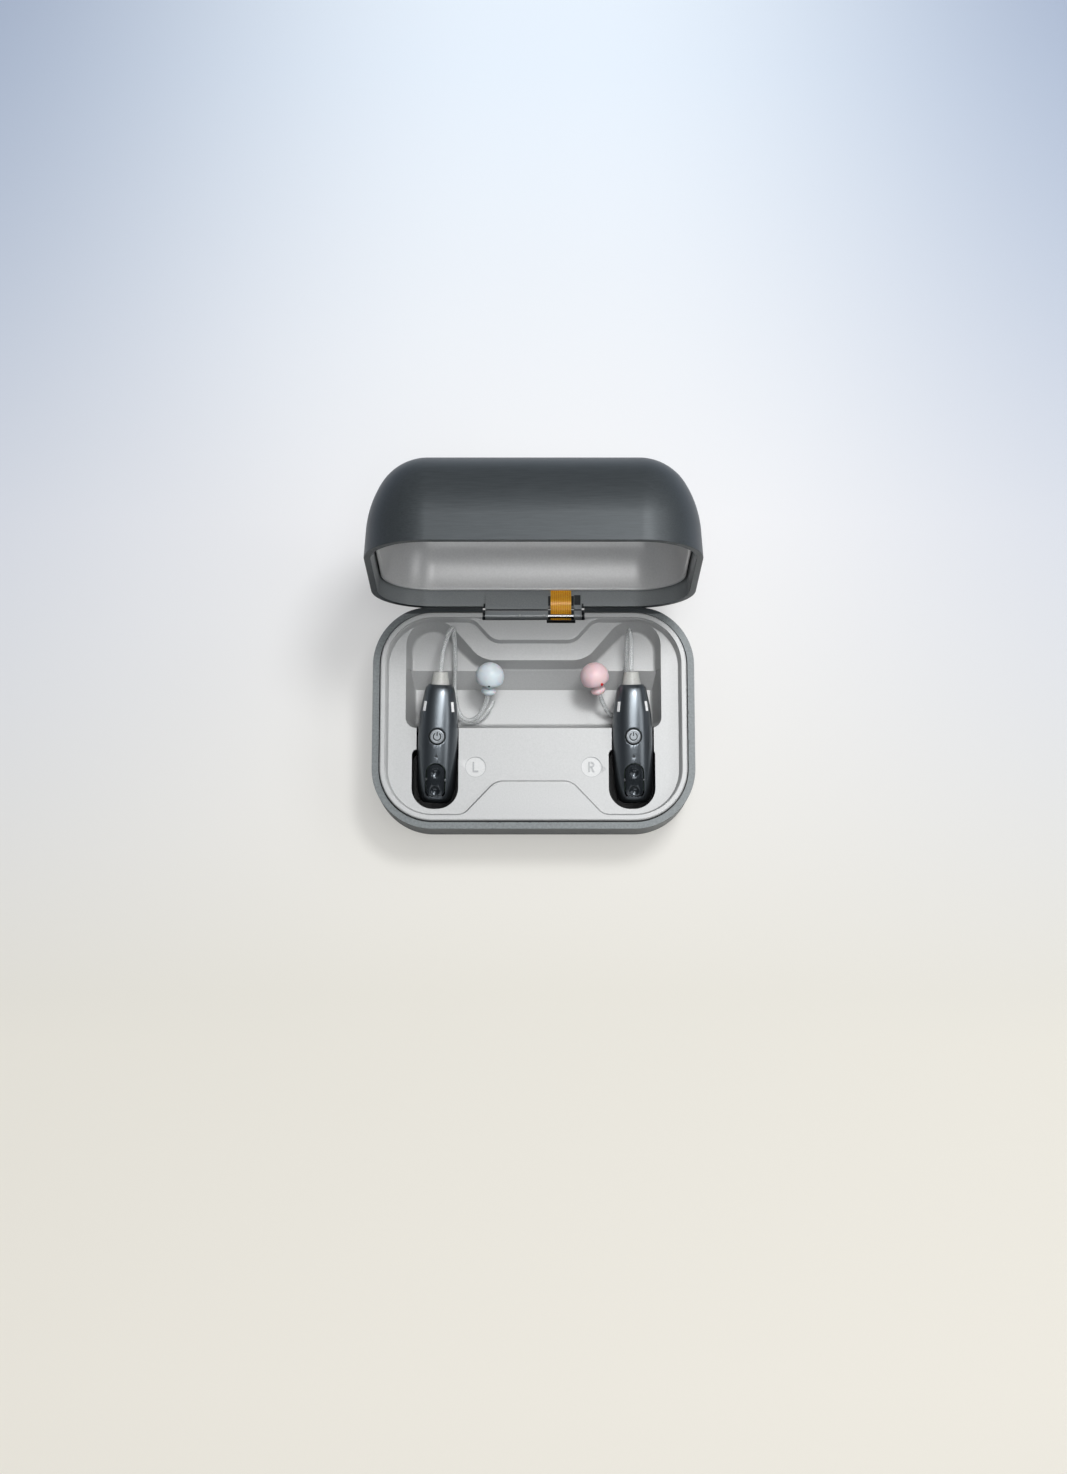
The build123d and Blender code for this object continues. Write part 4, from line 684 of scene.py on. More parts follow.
def hinge_well(dark):
    """Black plates of painted shade lining the gap in the rear wall, and black washers round the pin beside
    the arm that paint the shade in the gaps there.
    """
    side, bottom, back = NOTCH_HALF, NOTCH_FLOOR + 0.1, HINGE_Y + 1.15
    # Black plates on the gap's floor and sides: painted shade in the gap.
    shade_plates = [((-side, NOTCH_FRONT_Y - 0.08, bottom), (side, NOTCH_FRONT_Y + 0.06, RIM_HEIGHT - 0.2))]
    for left, right in ((-side - 0.06, -side + 0.12), (side - 0.12, side + 0.06)):
        shade_plates.append(((left, NOTCH_FRONT_Y, bottom), (right, HINGE_Y, RIM_HEIGHT + 0.9)))
        shade_plates.append(((left, HINGE_Y, bottom), (right, back, HINGE_Z + 2.3)))
    for number, (low, high) in enumerate(shade_plates):
        trim(block(f"hinge_lining_{number}", low, high, dark), "base_shell")
    # Black washers filling the gaps beside the arm: painted shade there.
    for name, x in (("left", -side), ("right", ARM_HALF + WASHER_GAP)):
        length = side - ARM_HALF - WASHER_GAP
        about = Matrix.Translation((x, HINGE_Y, HINGE_Z)) @ Matrix.Rotation(pi / 2, 4, "Y")
        section = [(PIN_RADIUS, 0), (WASHER_RADIUS, 0), (WASHER_RADIUS, length), (PIN_RADIUS, length)]
        washer = lathe(section + section[:1], 32, about)
        trim(smoothed(from_bmesh(f"{name}_pin_shade_washer", washer, dark), 40), "base_shell")


def rim_chips(material):
    """Small chips worn through the rim's lacquer, at the front and on the right."""
    shape = bmesh.new()
    front_y, right_x = -CASE_HALF[1] + 1.75, CASE_HALF[0] - 1.7
    places = [(x, front_y, length, 0.12) for x, length in FRONT_CHIPS]
    places += [(right_x, y, 0.12, length) for y, length in RIGHT_CHIPS]
    for x, y, across, along in places:
        chip = Matrix.Translation((x, y, RIM_HEIGHT)) @ Matrix.Diagonal((across / 2, along / 2, 0.03, 1))
        bmesh.ops.create_uvsphere(shape, u_segments=10, v_segments=6, radius=1.0, matrix=chip)
    trim(smoothed(from_bmesh("rim_chips", shape, material), 60), "base_shell")


def side_marks(field, letters_and_edge_shade):
    """The polished round fields in the deck, each with a fine darker ring of painted shade along its edge and
    its raised L or R.
    """
    stroke, half_height = 0.45, 1.45
    low, high = DECK - 0.06, DECK - 0.02
    for side, x in (("left", -MARK_X), ("right", MARK_X)):
        here = Matrix.Translation((x, MARK_Y, 0))
        bottom, top = MARK_FLOOR - 0.05, MARK_FLOOR + 0.02
        disc = lathe([(0, bottom), (MARK_RADIUS, bottom), (MARK_RADIUS, top), (0, top)], 64, here)
        trim(from_bmesh(f"{side}_mark_field", disc, field), "inner_tray")
        # A darker ring round the field: painted shade along the step at its edge.
        ring = arc_strip(MARK_RADIUS + 0.05, 0.14, 0.0, radians(359.9), DECK - 0.1, DECK + 0.012, 72)
        trim(from_bmesh(f"{side}_mark_edge_shade", moved(ring, here), letters_and_edge_shade), "inner_tray")
        edge = 0.8 if side == "left" else 0.87
        bars = [((-edge, -half_height), (-edge + stroke, half_height))]
        if side == "left":
            bars.append(((-edge + stroke, -half_height), (edge, -half_height + stroke)))
        letter = bmesh.new()
        for (x0, y0), (x1, y1) in bars:
            size = Matrix.Diagonal((x1 - x0, y1 - y0, high - low, 1))
            centre = Matrix.Translation(((x0 + x1) / 2, (y0 + y1) / 2, (low + high) / 2))
            bmesh.ops.create_cube(letter, size=1.0, matrix=here @ centre @ size)
        trim(from_bmesh(f"{side}_letter_bars", letter, letters_and_edge_shade), "inner_tray")
        if side == "right":
            bowl = arc_strip(0.59, stroke, -pi / 2, pi / 2, low, high)
            centre = Matrix.Translation((0.06, half_height - 0.81, 0))
            trim(from_bmesh("right_letter_bowl", moved(bowl, here @ centre), letters_and_edge_shade), "inner_tray")
            strokes = [
                [(-0.45, 1.23), (0.08, 1.23), (0.08, half_height), (-0.45, half_height)],
                [(-0.45, -0.17), (0.08, -0.17), (0.08, 0.28), (-0.45, 0.28)],
                [(-0.2, -0.1), (0.28, -0.1), (0.9, -half_height), (0.4, -half_height)],
            ]
            for number, corners in enumerate(strokes):
                shape = moved(loft([[(a, b, z) for a, b in corners] for z in (low, high)]), here)
                trim(from_bmesh(f"right_letter_stroke_{number}", shape, letters_and_edge_shade), "inner_tray")


def aid_stations(grow, count=46):
    """Sections along an aid: place, half width, middle and half height, read smoothly from its form."""
    stations = []
    first, last = AID_FORM[0][0], AID_FORM[-1][0]
    for step in range(count + 1):
        share = step / count
        place = first + (last - first) * (share - sin(2 * pi * share) / (2 * pi) * 0.75)
        k = max(i for i in range(len(AID_FORM) - 1) if AID_FORM[i][0] <= place + 1e-9)
        around = [AID_FORM[min(max(k + j, 0), len(AID_FORM) - 1)] for j in (-1, 0, 1, 2)]
        t = (place - around[1][0]) / (around[2][0] - around[1][0])
        places, *columns = zip(*around)
        width, belly, spine = (cubic(column, places, t) for column in columns)
        stations.append((place, width / 2 + grow, (belly + spine) / 2, (spine - belly) / 2 + grow))
    return stations


def cubic(values, places, t):
    """A smooth curve's value between the middle two of four points."""
    _, a, b, _ = values
    span = places[2] - places[1]
    slopes = []
    for low, high in ((0, 2), (1, 3)):
        apart = places[high] - places[low]
        slopes.append((values[high] - values[low]) / apart if apart else 0.0)
    m0, m1 = slopes[0] * span, slopes[1] * span
    start = (2 * t**3 - 3 * t**2 + 1) * a + (t**3 - 2 * t**2 + t) * m0
    return start + (3 * t**2 - 2 * t**3) * b + (t**3 - t**2) * m1


def aid_solid(grow, low=0.0, high=0.0, steps=64):
    """An aid's rounded form as a solid, shortened by low and high at its ends."""
    rings = []
    for place, half, middle, rise in aid_stations(grow):
        if not AID_FORM[0][0] + low <= place <= AID_FORM[-1][0] - high:
            continue
        ring = []
        for step in range(steps):
            a = 2 * pi * step / steps
            x, z = (abs(v) ** (2 / SECTION_POWER) * (1 if v > 0 else -1) for v in (cos(a), sin(a)))
            ring.append((half * x, place, middle + rise * z))
        rings.append(ring)
    return loft(rings)


def rocker_hole(grow):
    """The rocker's outline from above, as points: round above and squarer below."""
    half, corner = ROCKER_WIDTH / 2 + grow, 1.5
    top, bottom = ROCKER_TO + grow - half, ROCKER_FROM - grow
    points = [(half * cos(radians(a)), top + half * sin(radians(a))) for a in range(0, 181, 10)]
    for start, x in ((180, -half + corner), (270, half - corner)):
        points += [
            (x + corner * cos(radians(a)), bottom + corner + corner * sin(radians(a)))
            for a in range(start, start + 91, 15)
        ]
    return points


def aid_skins(side, material, dark):
    """The belly shell and the spine cover, with openings for the keys, the pinhole and the microphones."""
    here = aid_matrix(side)
    far = 3 * AID_FORM[-1][0]

    def upright(points, low=0.0):
        return moved(loft([[(x, y, z) for x, y in points] for z in (low, far)]), here)

    def disc(radius):
        return [(radius * cos(pi * i / 24), radius * sin(pi * i / 24)) for i in range(48)]

    for node, low, high in (("spine_cover", -far, AID_SPLIT), ("belly_shell", AID_SPLIT, far)):
        skin = from_bmesh(f"{side}_{node}", moved(aid_solid(0.0), here), material)
        cut(skin, from_bmesh("hollow", moved(aid_solid(-AID_WALL, 1.5, 1.2), here), material))
        square = [(-far, -far), (far, -far), (far, far), (-far, far)]
        half = loft([[(x, y, z) for x, y in square] for z in (low, high)])
        cut(skin, from_bmesh("half", moved(half, here), material))
        if node == "spine_cover":
            cut(skin, from_bmesh("rocker_hole", upright(rocker_hole(ROCKER_GAP)), material))
            for place, radius in ((POWER_AT, POWER_HOLE), (PINHOLE_AT, PINHOLE_RADIUS)):
                points = [(x, y + place) for x, y in disc(radius)]
                cut(skin, from_bmesh("round_hole", upright(points), material))
            for lean in (-1, 1):
                turn = Matrix.Translation((lean * MIC_OUT, MIC_AT, MIC_HEIGHT))
                turn = turn @ Matrix.Rotation(radians(lean * MIC_LEAN), 4, "Y")
                slot = stadium(MIC_LENGTH + 0.1, MIC_WIDTH + 0.1, 0)
                shape = loft([[(x, y, z) for y, x, _ in slot] for z in (-0.8, 2.0)])
                cut(skin, from_bmesh("mic_slot", moved(shape, here @ turn), material))
        placed(smoothed(softened(skin, 0.09, segments=2), 38), f"{side}_aid_{node}")
    # A dark disc down in the pinhole: painted shade in the hole.
    top, wide = PINHOLE_TOP, PINHOLE_RADIUS + 0.05
    section = [(0, top - 1.2), (wide, top - 1.2), (wide, top), (0, top)]
    pinhole_shade = lathe(section, 24, here @ Matrix.Translation((0, PINHOLE_AT, 0)))
    trim(from_bmesh(f"{side}_pinhole_shade_disc", pinhole_shade, dark), f"{side}_aid_spine_cover")


def repaint(node, material):
    """Give a node of the model its finish."""
    mesh = frame["nodes"][node].data
    mesh.materials.clear()
    mesh.materials.append(material)


def aid_matrix(side):
    """From the aid's own frame to the case: X across, Y up along the aid, Z out of its spine."""
    x, turn = AIDS[side]
    place = Matrix.Translation((x, AID_Y, AID_AXIS_Z))
    return place @ Matrix.Rotation(radians(turn), 4, "Z") @ Matrix.Rotation(radians(AID_TILT), 4, "X")


def moved(shape, matrix):
    """A bmesh with a matrix applied to it."""
    bmesh.ops.transform(shape, matrix=matrix, verts=shape.verts)
    return shape


def arc_strip(radius, width, start, stop, low, high, steps=28):
    """A flat curved bar with square ends."""
    rings = []
    for step in range(steps + 1):
        a = start + (stop - start) * step / steps
        inner, outer = radius - width / 2, radius + width / 2
        section = ((inner, low), (outer, low), (outer, high), (inner, high))
        rings.append([(r * cos(a), r * sin(a), z) for r, z in section])
    return loft(rings)


def power_button(side, silver, ink_and_painted_shade):
    """The power button: a silver disc in a dark collar, with a plain power mark."""
    node = f"{side}_power_button"
    here = aid_matrix(side) @ Matrix.Translation((0, POWER_AT, 0))
    top = POWER_TOP + 0.15
    edge = 0.12
    disc = [(0, POWER_TOP - 0.4), (POWER_DISC, POWER_TOP - 0.4), (POWER_DISC, top - edge)]
    for a in (radians(30), radians(60), radians(90)):
        disc.append((POWER_DISC - edge * (1 - cos(a)), top - edge + edge * sin(a)))
    disc += [(POWER_DISC * 0.82, top), (POWER_DISC * 0.78, top - 0.05), (0, top - 0.05)]
    obj = smoothed(from_bmesh(f"{side}_power_disc", lathe(disc, 64, here), silver), 30)
    placed(obj, node)
    collar_top = POWER_TOP - 0.35
    collar = [(0, POWER_TOP - 1.6), (POWER_COLLAR, POWER_TOP - 1.6), (POWER_COLLAR, collar_top - 0.1)]
    collar += [(POWER_COLLAR - 0.1, collar_top), (0, collar_top)]
    trim(smoothed(from_bmesh(f"{side}_power_collar", lathe(collar, 48, here), ink_and_painted_shade), 30), node)
    low, high = top - 0.06, top - 0.01
    ring = arc_strip(1.02, 0.32, radians(122), radians(418), low, high)
    trim(from_bmesh(f"{side}_power_mark_ring", moved(ring, here), ink_and_painted_shade), node)
    corners = [(-0.16, 0.15), (0.16, 0.15), (0.16, 1.25), (-0.16, 1.25)]
    bar = loft([[(x, y, z) for x, y in corners] for z in (low, high)])
    trim(from_bmesh(f"{side}_power_mark_bar", moved(bar, here), ink_and_painted_shade), node)


def curve_points(name, points):
    """A smooth open curve through a route's control points, in metres."""
    curve = bpy.data.curves.new(name, "CURVE")
    curve.dimensions = "3D"
    curve.resolution_u = 12
    spline = curve.splines.new("NURBS")
    spline.points.add(len(points) - 1)
    for point, place in zip(spline.points, points):
        point.co = (*[c * MM for c in place], 1.0)
    spline.order_u = 3
    spline.use_endpoint_u = True
    return new_object(name, curve)


def rule_tree(name, sizes):
    """A Geometry Nodes tree that takes a shape and named inputs, and gives a shape."""
    tree = bpy.data.node_groups.new(name, "GeometryNodeTree")
    for socket, kind in {"Geometry": "Geometry", **sizes}.items():
        tree.interface.new_socket(socket, in_out="INPUT", socket_type=f"NodeSocket{kind}")
    tree.interface.new_socket("Geometry", in_out="OUTPUT", socket_type="NodeSocketGeometry")
    return tree


def finished(tree, given, swept):
    """End a tree: the swept mesh made real, with its finish set."""
    real = add(tree, "GeometryNodeRealizeInstances", links={"Geometry": swept.outputs["Mesh"]})
    painted = add(
        tree, "GeometryNodeSetMaterial",
        links={"Geometry": real.outputs["Geometry"], "Material": given.outputs["Finish"]},
    )
    add(tree, "NodeGroupOutput", links={"Geometry": painted.outputs["Geometry"]})
    return tree


def sweep_tree():
    """A node tree that sweeps a round section of a given radius along a curve."""
    tree = rule_tree("round_sweep", {"Radius": "Float", "Sides": "Int", "Finish": "Material"})
    given = add(tree, "NodeGroupInput")
    ring = add(
        tree, "GeometryNodeCurvePrimitiveCircle",
        links={"Radius": given.outputs["Radius"], "Resolution": given.outputs["Sides"]},
    )
    swept = add(
        tree, "GeometryNodeCurveToMesh", values={"Fill Caps": True},
        links={"Curve": given.outputs["Geometry"], "Profile Curve": ring.outputs["Curve"]},
    )
    return finished(tree, given, swept)


def run_tree(obj, tree, inputs):
    """Run a node tree on an object with named inputs and keep the result as a plain mesh object."""
    modifier = obj.modifiers.new("made_by_rule", "NODES")
    modifier.node_group = tree
    for item in tree.interface.items_tree:
        if item.in_out == "INPUT" and item.name in inputs:
            modifier[item.identifier] = inputs[item.name]
    bpy.context.view_layer.update()
    mesh = bpy.data.meshes.new_from_object(obj.evaluated_get(bpy.context.evaluated_depsgraph_get()))
    name = obj.name
    bpy.data.objects.remove(obj)
    return new_object(name + "_piece", mesh)


def sound_tube(side, tree, material):
    """The clear preformed tube from the nozzle to the dome, with its bore."""
    here = aid_matrix(side)
    start = [tuple(here @ Vector((0, at, NOZZLE_RISE))) for at in (NOZZLE_SEAT, NOZZLE_MOUTH + NOZZLE_RUN)]
    dome = dome_matrix(side)
    end = [tuple(dome @ Vector((0, 0, z))) for z in (-SLEEVE_LENGTH - 0.8, -SLEEVE_LENGTH + SLEEVE_SEAT)]
    route = curve_points(f"{side}_clear_tube", start + TUBE_ROUTES[side] + end)
    obj = run_tree(route, tree, {"Radius": TUBE_RADIUS * MM, "Sides": 20, "Finish": material})
    hollow(obj, TUBE_WALL)
    return placed(smoothed(obj, 50), f"{side}_sound_tube")


def hollow(obj, wall):
    """Open a swept tube's ends and give it a wall."""
    shape = bmesh.new()
    shape.from_mesh(obj.data)
    caps = [f for f in shape.faces if len(f.verts) > 4]
    bmesh.ops.delete(shape, geom=caps, context="FACES_ONLY")
    bmesh.ops.recalc_face_normals(shape, faces=shape.faces)
    shape.to_mesh(obj.data)
    shape.free()
    shell = obj.modifiers.new("wall", "SOLIDIFY")
    shell.thickness = wall * MM
    shell.offset = -1
    return settled(obj)


def dome_matrix(side):
    """From the dome's own frame, Z out of its crown, to the case."""
    aim = Vector(DOME_AIMS[side]).normalized()
    across = Vector((1, 0, 0))
    across = (across - aim * across.dot(aim)).normalized()
    up = aim.cross(across)
    turn = Matrix((across, up, aim)).transposed().to_4x4()
    return Matrix.Translation(DOME_CENTRES[side]) @ turn


def ear_dome(side, material, mark, mark_place, mark_size):
    """The soft dome: a round crown with a thin open skirt, on a sleeve with a rounded collar."""
    inner = DOME_RADIUS - DOME_WALL
    outer_stop = -DOME_SKIRT
    profile = [(0, DOME_RADIUS)]
    last = pi / 2 + asin(DOME_SKIRT / DOME_RADIUS)
    profile += [(DOME_RADIUS * sin(last * i / 24), DOME_RADIUS * cos(last * i / 24)) for i in range(1, 25)]
    edge = profile[-1]
    profile.append((edge[0] - DOME_WALL / 2, outer_stop - DOME_WALL * 0.35))
    first = pi / 2 + asin(DOME_SKIRT / inner)
    stop = asin(SLEEVE_RADIUS / inner)
    profile += [
        (inner * sin(a), inner * cos(a)) for a in [first + (stop - first) * i / 16 for i in range(17)]
    ]
    profile += [(SLEEVE_RADIUS, 0), (SLEEVE_RADIUS, COLLAR_LENGTH - SLEEVE_LENGTH + 0.15)]
    middle = -SLEEVE_LENGTH + COLLAR_LENGTH / 2
    profile += [
        (COLLAR_RADIUS - 0.9 + 0.9 * cos(radians(a)), middle + COLLAR_LENGTH / 2 * sin(radians(a)))
        for a in range(80, -91, -17)
    ]
    profile += [(TUBE_RADIUS + 0.02, -SLEEVE_LENGTH), (TUBE_RADIUS + 0.02, -SLEEVE_LENGTH + SLEEVE_SEAT)]
    profile += [(0, -SLEEVE_LENGTH + SLEEVE_SEAT)]
    obj = from_bmesh(f"{side}_silicone_dome", lathe(profile, 56, dome_matrix(side)), material)
    placed(smoothed(obj, 40), f"{side}_ear_dome")
    centre = Vector(DOME_CENTRES[side])
    out = Vector(mark_place).normalized()
    blob = bmesh.new()
    bmesh.ops.create_uvsphere(blob, u_segments=20, v_segments=12, radius=1.0)
    turn = out.to_track_quat("Z", "Y").to_matrix().to_4x4()
    size = Matrix.Diagonal((*mark_size, 0.12, 1))
    moved(blob, Matrix.Translation(centre + out * (DOME_RADIUS - 0.02)) @ turn @ size)
    trim(smoothed(from_bmesh(f"{side}_dome_mark", blob, mark), 60), f"{side}_ear_dome")


def lid_point(y, z):
    """Where a point of the closed lid lies once the lid is open."""
    across, up = y - HINGE_Y, z - HINGE_Z
    return (
        HINGE_Y + across * cos(OPEN_ANGLE) + up * sin(OPEN_ANGLE),
        HINGE_Z - across * sin(OPEN_ANGLE) + up * cos(OPEN_ANGLE),
    )


def flex_route():
    """The cable's route as (y, z), from the board under the bare pin and into the lid."""
    under_pin = HINGE_Z - 0.75
    return [
        (16.95, 8.5), (19.55, 8.6), (HINGE_Y - 6.5, HINGE_Z - 7.2), (HINGE_Y - 1.9, HINGE_Z - 3.4),
        (HINGE_Y - 0.9, under_pin - 0.25), (HINGE_Y + 0.65, under_pin), (HINGE_Y + 2.0, under_pin + 1.5),
        (HINGE_Y + 4.5, under_pin + 2.15), lid_point(29.2, LID_RIM + LINER_RECESS - 0.9),
        lid_point(29.34, LID_RIM + LINER_RECESS + 1.2),
    ]


def strip_tree():
    """A node tree that sweeps flat strips along a curve, side by side across its width."""
    sizes = {name: "Float" for name in ("Strip Width", "Strip Height", "Pitch", "Rise")}
    tree = rule_tree("flat_strips", {**sizes, "Count": "Int", "Finish": "Material"})
    given = add(tree, "NodeGroupInput")
    strip = add(
        tree, "GeometryNodeCurvePrimitiveQuadrilateral",
        links={"Width": given.outputs["Strip Width"], "Height": given.outputs["Strip Height"]},
    )
    less = add(
        tree, "ShaderNodeMath", settings={"operation": "SUBTRACT"}, values={1: 1.0},
        links={0: given.outputs["Count"]},
    )
    times = {"operation": "MULTIPLY"}
    span = add(tree, "ShaderNodeMath", settings=times, links={0: less.outputs[0], 1: given.outputs["Pitch"]})
    first = add(tree, "ShaderNodeMath", settings=times, values={1: -0.5}, links={0: span.outputs[0]})
    start = add(tree, "ShaderNodeCombineXYZ", links={"X": first.outputs[0], "Y": given.outputs["Rise"]})
    step = add(tree, "ShaderNodeCombineXYZ", links={"X": given.outputs["Pitch"]})
    row = add(
        tree, "GeometryNodeMeshLine",
        links={"Count": given.outputs["Count"], "Start Location": start.outputs[0], "Offset": step.outputs[0]},
    )
    strips = add(
        tree, "GeometryNodeInstanceOnPoints",
        links={"Points": row.outputs["Mesh"], "Instance": strip.outputs["Curve"]},
    )
    profile = add(tree, "GeometryNodeRealizeInstances", links={"Geometry": strips.outputs["Instances"]})
    level = add(tree, "GeometryNodeSetCurveNormal", links={"Curve": given.outputs["Geometry"]})
    swept = add(
        tree, "GeometryNodeCurveToMesh", values={"Fill Caps": True},
        links={"Curve": level.outputs["Curve"], "Profile Curve": profile.outputs["Geometry"]},
    )
    return finished(tree, given, swept)


def flex_cable(film, trace):
    """The orange cable and the copper lines along it, which bend between the base and the lid."""
    tree = strip_tree()
    points = [(FLEX_X, y, z) for y, z in flex_route()]
    strips = [
        ("cable_film", film, FLEX_WIDTH, FLEX_THICKNESS, 1.0, 1),
        ("cable_traces", trace, TRACE_WIDTH, FLEX_THICKNESS + TRACE_PROUD, TRACE_PITCH, TRACE_COUNT),
    ]
    pieces = []
    for name, material, width, height, pitch, count in strips:
        sizes = {"Strip Width": width * MM, "Strip Height": height * MM, "Pitch": pitch * MM, "Rise": 0.0}
        inputs = {**sizes, "Count": count, "Finish": material}
        obj = run_tree(curve_points(name, points), tree, inputs)
        smoothed(obj, 40)
        pieces.append(obj)
    for obj in pieces:
        settled(obj)
    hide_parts("flex_cable")
    for obj in pieces:
        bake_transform(obj)


def floor_material():
    """A pale studio floor: cream in front, white under the object, pale blue far behind."""
    material = bpy.data.materials.new("studio_floor")
    material.use_nodes = True
    tree = material.node_tree
    tree.nodes.clear()
    split = add(tree, "ShaderNodeSeparateXYZ", links={"Vector": in_millimetres(tree)})
    depth = add(
        tree, "ShaderNodeMapRange", values={"From Min": -205.0, "From Max": 227.0},
        links={"Value": split.outputs["Y"]},
    )
    stops = [(0.05, "#EDE9DF"), (0.3, "#E6E3DA"), (0.62, "#F4F4F5"), (0.95, "#E6F0FB")]
    middle = ramp(tree, depth.outputs["Result"], stops)
    across = add(tree, "ShaderNodeMath", settings={"operation": "ABSOLUTE"}, links={0: split.outputs["X"]})
    aside = add(
        tree, "ShaderNodeMapRange", settings={"interpolation_type": "SMOOTHSTEP"},
        values={"From Min": 10.0, "From Max": 190.0}, links={"Value": across.outputs[0]},
    )
    behind = add(
        tree, "ShaderNodeMapRange", values={"From Min": -90.0, "From Max": 227.0, "To Max": 0.95},
        links={"Value": split.outputs["Y"]},
    )
    share = add(
        tree, "ShaderNodeMath", settings={"operation": "MULTIPLY"},
        links={0: aside.outputs["Result"], 1: behind.outputs["Result"]},
    )
    colour = add(tree, "ShaderNodeMix", settings={"data_type": "RGBA"}, links={"Factor": share.outputs[0]})
    tree.links.new(middle, colour.inputs[6])
    colour.inputs[7].default_value = linear("#A3B0C7")
    surface = add(
        tree, "ShaderNodeBsdfPrincipled", values={"Roughness": 0.9, "Specular IOR Level": 0.1},
        links={"Base Color": colour.outputs[2]},
    )
    glow = add(tree, "ShaderNodeEmission", links={"Color": colour.outputs[2]})
    seen = add(tree, "ShaderNodeLightPath")
    part = add(
        tree, "ShaderNodeMath", settings={"operation": "MULTIPLY"}, values={1: FLOOR_GLOW},
        links={0: seen.outputs["Is Camera Ray"]},
    )
    floor = add(
        tree, "ShaderNodeMixShader",
        links={"Fac": part.outputs[0], 1: surface.outputs["BSDF"], 2: glow.outputs[0]},
    )
    add(tree, "ShaderNodeOutputMaterial", links={"Surface": floor.outputs["Shader"]})
    return material


def studio():
    """The floor, the soft lamps, the sky and the camera."""
    half = 3.0
    shape = bmesh.new()
    corners = [(-half, -half), (half, -half), (half, half), (-half, half)]
    shape.faces.new([shape.verts.new((x, y, 0)) for x, y in corners])
    floor = from_bmesh("floor", shape, floor_material(), scale=1.0)
    lamp("key_softbox", (0.2, 0.24, 0.77), (0, 0.0, 0.02), (0.2, 0.16), 3.4)
    lamp("overhead_softbox", (0.08, -0.02, 0.98), (0, 0, 0.02), (0.55, 0.3), 2.9)
    lamp("right_softbox", (0.6, 0.05, 0.62), (0, 0, 0.02), (0.9, 0.3), 1.8)
    lamp("front_softbox", (-0.05, -0.75, 0.55), (0, 0.02, 0.03), (0.7, 0.3), 1.0)
    world = bpy.data.worlds.new("studio_sky")
    bpy.context.scene.world = world
    world.use_nodes = True
    tree = world.node_tree
    tree.nodes.clear()
    way = add(tree, "ShaderNodeTexCoord")
    split = add(tree, "ShaderNodeSeparateXYZ", links={"Vector": way.outputs["Generated"]})
    sky = ramp(
        tree, split.outputs["Z"],
        [(0.0, "#9A9C9F"), (0.25, "#64676B"), (0.62, "#4A4E52"), (0.9, "#6E7174")],
    )
    seen = add(tree, "ShaderNodeLightPath")
    camera_ray = {"Factor": seen.outputs["Is Camera Ray"]}
    colour = add(tree, "ShaderNodeMix", settings={"data_type": "RGBA"}, links=camera_ray)
    tree.links.new(sky, colour.inputs[6])
    colour.inputs[7].default_value = linear("#E9ECF0")
    glow = add(tree, "ShaderNodeBackground", values={"Strength": 1.0}, links={"Color": colour.outputs[2]})
    add(tree, "ShaderNodeOutputWorld", links={"Surface": glow.outputs["Background"]})


def lamp(name, place, aim, size, power):
    """A rectangular soft lamp."""
    light = bpy.data.lights.new(name, "AREA")
    light.shape = "RECTANGLE"
    light.size, light.size_y = size
    light.energy = power
    obj = bpy.data.objects.new(name, light)
    obj.location = place
    obj.rotation_euler = (Vector(aim) - Vector(place)).to_track_quat("-Z", "Y").to_euler()
    bpy.context.collection.objects.link(obj)


def make_camera():
    """The photograph's view: steeply from above, a little from the front."""
    lens = bpy.data.cameras.new("view")
    lens.lens = 58.64
    lens.sensor_width = 36.0
    lens.clip_start = 0.01
    camera = bpy.data.objects.new("view", lens)
    elevation, distance = radians(79.0), 0.669
    target = Vector((0.0, -0.0059, 0.020))
    away = Vector((0, -cos(elevation), sin(elevation)))
    camera.location = target + away * distance
    camera.rotation_euler = (-away).to_track_quat("-Z", "Y").to_euler()
    bpy.context.collection.objects.link(camera)
    bpy.context.scene.camera = camera


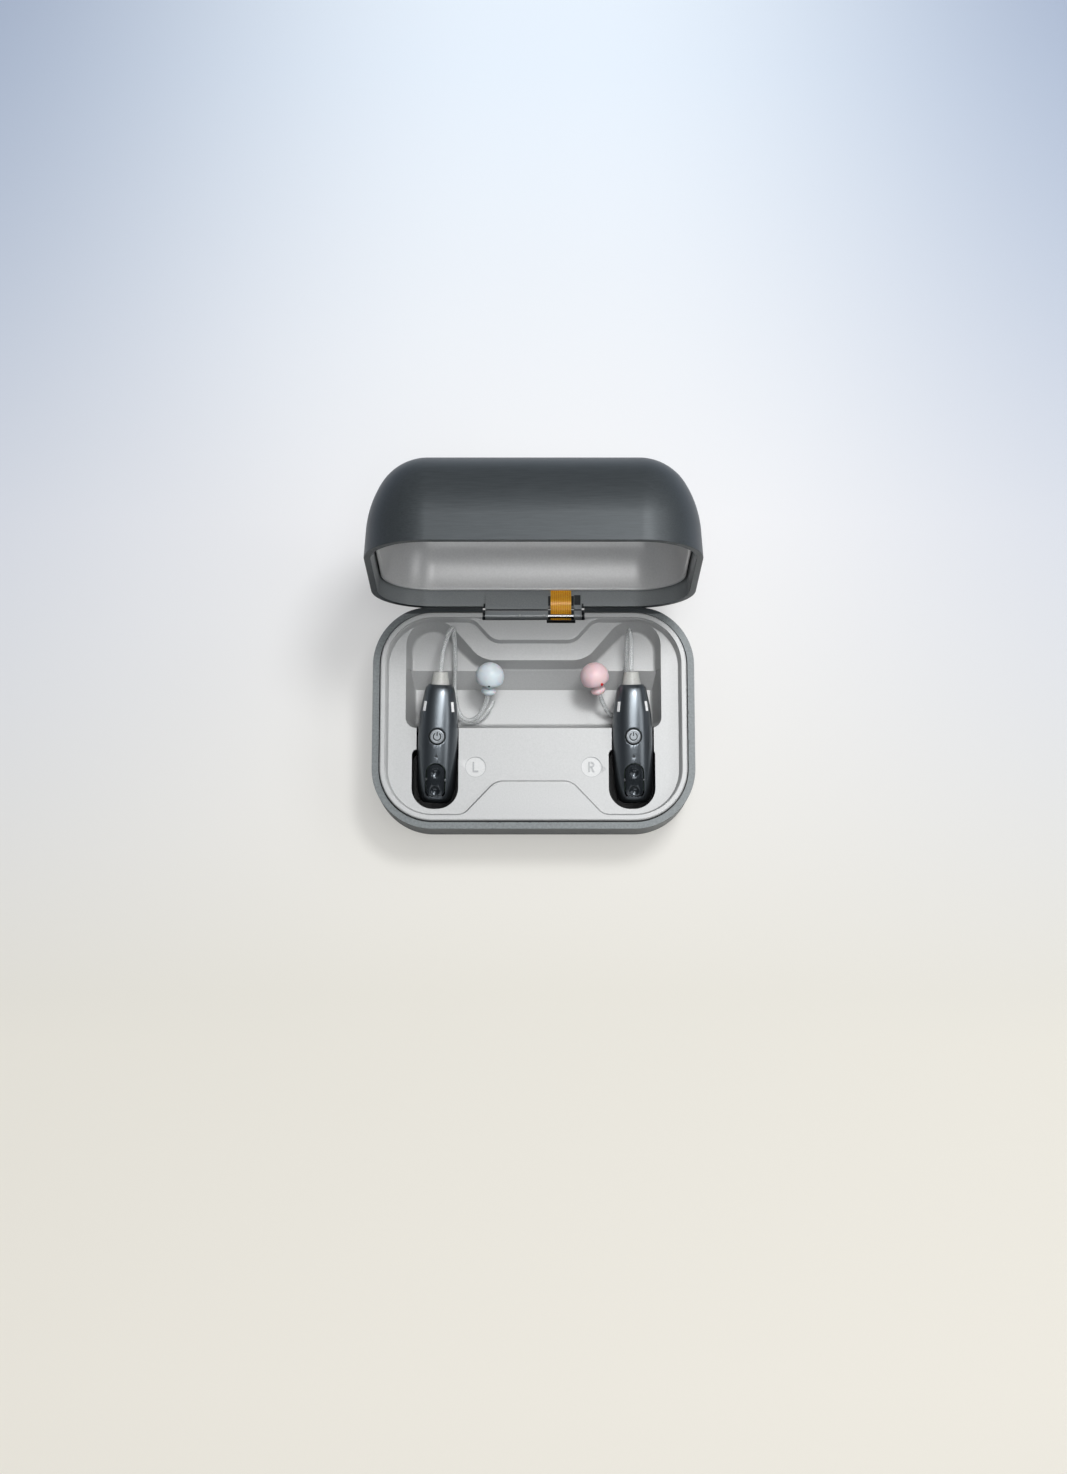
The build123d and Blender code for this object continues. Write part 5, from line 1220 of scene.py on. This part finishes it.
def dress():
    """Every piece with its finish."""
    lacquer, silver, black = shell_lacquer(), silver_plastic(), black_plastic()
    pearl, key, disc = pearl_gunmetal(), dark_key_paint(), silver_key()
    small = simple_finishes()
    nylon = arm_plastic()
    lid_shell(lacquer, nylon)
    lid_liner(liner_plastic())
    base_shell(lacquer, rim_lacquer(), black)
    far = 2 * CASE_HALF[0]
    gap = block("arm_gap", (-NOTCH_HALF, NOTCH_FRONT_Y, NOTCH_FLOOR), (NOTCH_HALF, far, far), silver)
    left, right, depth = CABLE_GAP
    room = block("cable_gap", (left, NOTCH_FRONT_Y - depth, NOTCH_FLOOR), (right, far, far), silver)
    refined("inner_tray", "tray_moulding", silver, angle=28, rounding=0.22, cutters=[gap, room])
    hinge_well(small["ink_and_painted_shade"])
    side_marks(small["field"], small["letter"])
    rim_chips(small["ink_and_painted_shade"])
    hinge_arm(nylon, small["ink_and_painted_shade"], silver)
    refined("hinge_pin", "hinge_pin_rod", bright_steel(), angle=40, rounding=0.1)
    flex_cable(polyimide_film(), film_trace())
    refined("light_window", "light_window_pane", small["window"], angle=35)
    tree = sweep_tree()
    tube = clear_tube()
    nozzle = frosted_sleeve()
    for side in AIDS:
        refined(f"{side}_cradle", f"{side}_well", black, angle=35, rounding=0.1)
        aid_skins(side, pearl, small["ink_and_painted_shade"])
        refined(f"{side}_volume_rocker", f"{side}_rocker_cap", key, angle=38)
        refined(f"{side}_tube_nozzle", f"{side}_nozzle_sleeve", nozzle, angle=35, rounding=0.2)
        refined(f"{side}_mic_inserts", f"{side}_mic_meshes", small["white_insert"], angle=40)
        power_button(side, disc, small["ink_and_painted_shade"])
        sound_tube(side, tree, tube)
    tail = run_tree(
        curve_points("left_tail", TAIL_ROUTE), tree, {"Radius": TAIL_RADIUS * MM, "Sides": 16, "Finish": tube},
    )
    placed(smoothed(tail, 50), "left_retention_tail")
    bluish = soft_silicone("bluish_silicone", "#CDD7DD", "#D9E2E7")
    pink = soft_silicone("pink_silicone", "#E2C4C8", "#EAD0D3")
    ear_dome("left", bluish, small["blue_dot"], (-0.2, -3.36, 2.15), (0.35, 0.35))
    ear_dome("right", pink, small["red_dot"], (2.0, -2.75, 2.1), (0.4, 0.6))
    inner_finishes = {
        "case_cell": "sleeve", "main_board": "solder_mask", "board_components": "moulded_chip",
        "board_screws": "nickel", "usb_socket": "nickel", "base_magnets": "nickel",
        "lid_magnets": "nickel", "status_board": "solder_mask", "status_lights": "lamp",
    }
    paired_finishes = {
        "charging_pins": "gold", "contact_board": "solder_mask", "contact_lead": "white_film",
        "rocker_pin": "can", "aid_contacts": "gold", "aid_board": "solder_mask", "aid_cell": "can",
        "receiver": "can", "button_switches": "moulded_chip",
    }
    for side in AIDS:
        inner_finishes.update({f"{side}_{node}": finish for node, finish in paired_finishes.items()})
    for node, finish in inner_finishes.items():
        repaint(node, small[finish])


bpy.context.scene.view_settings.view_transform = "Standard"
make_camera()
dress()
studio()
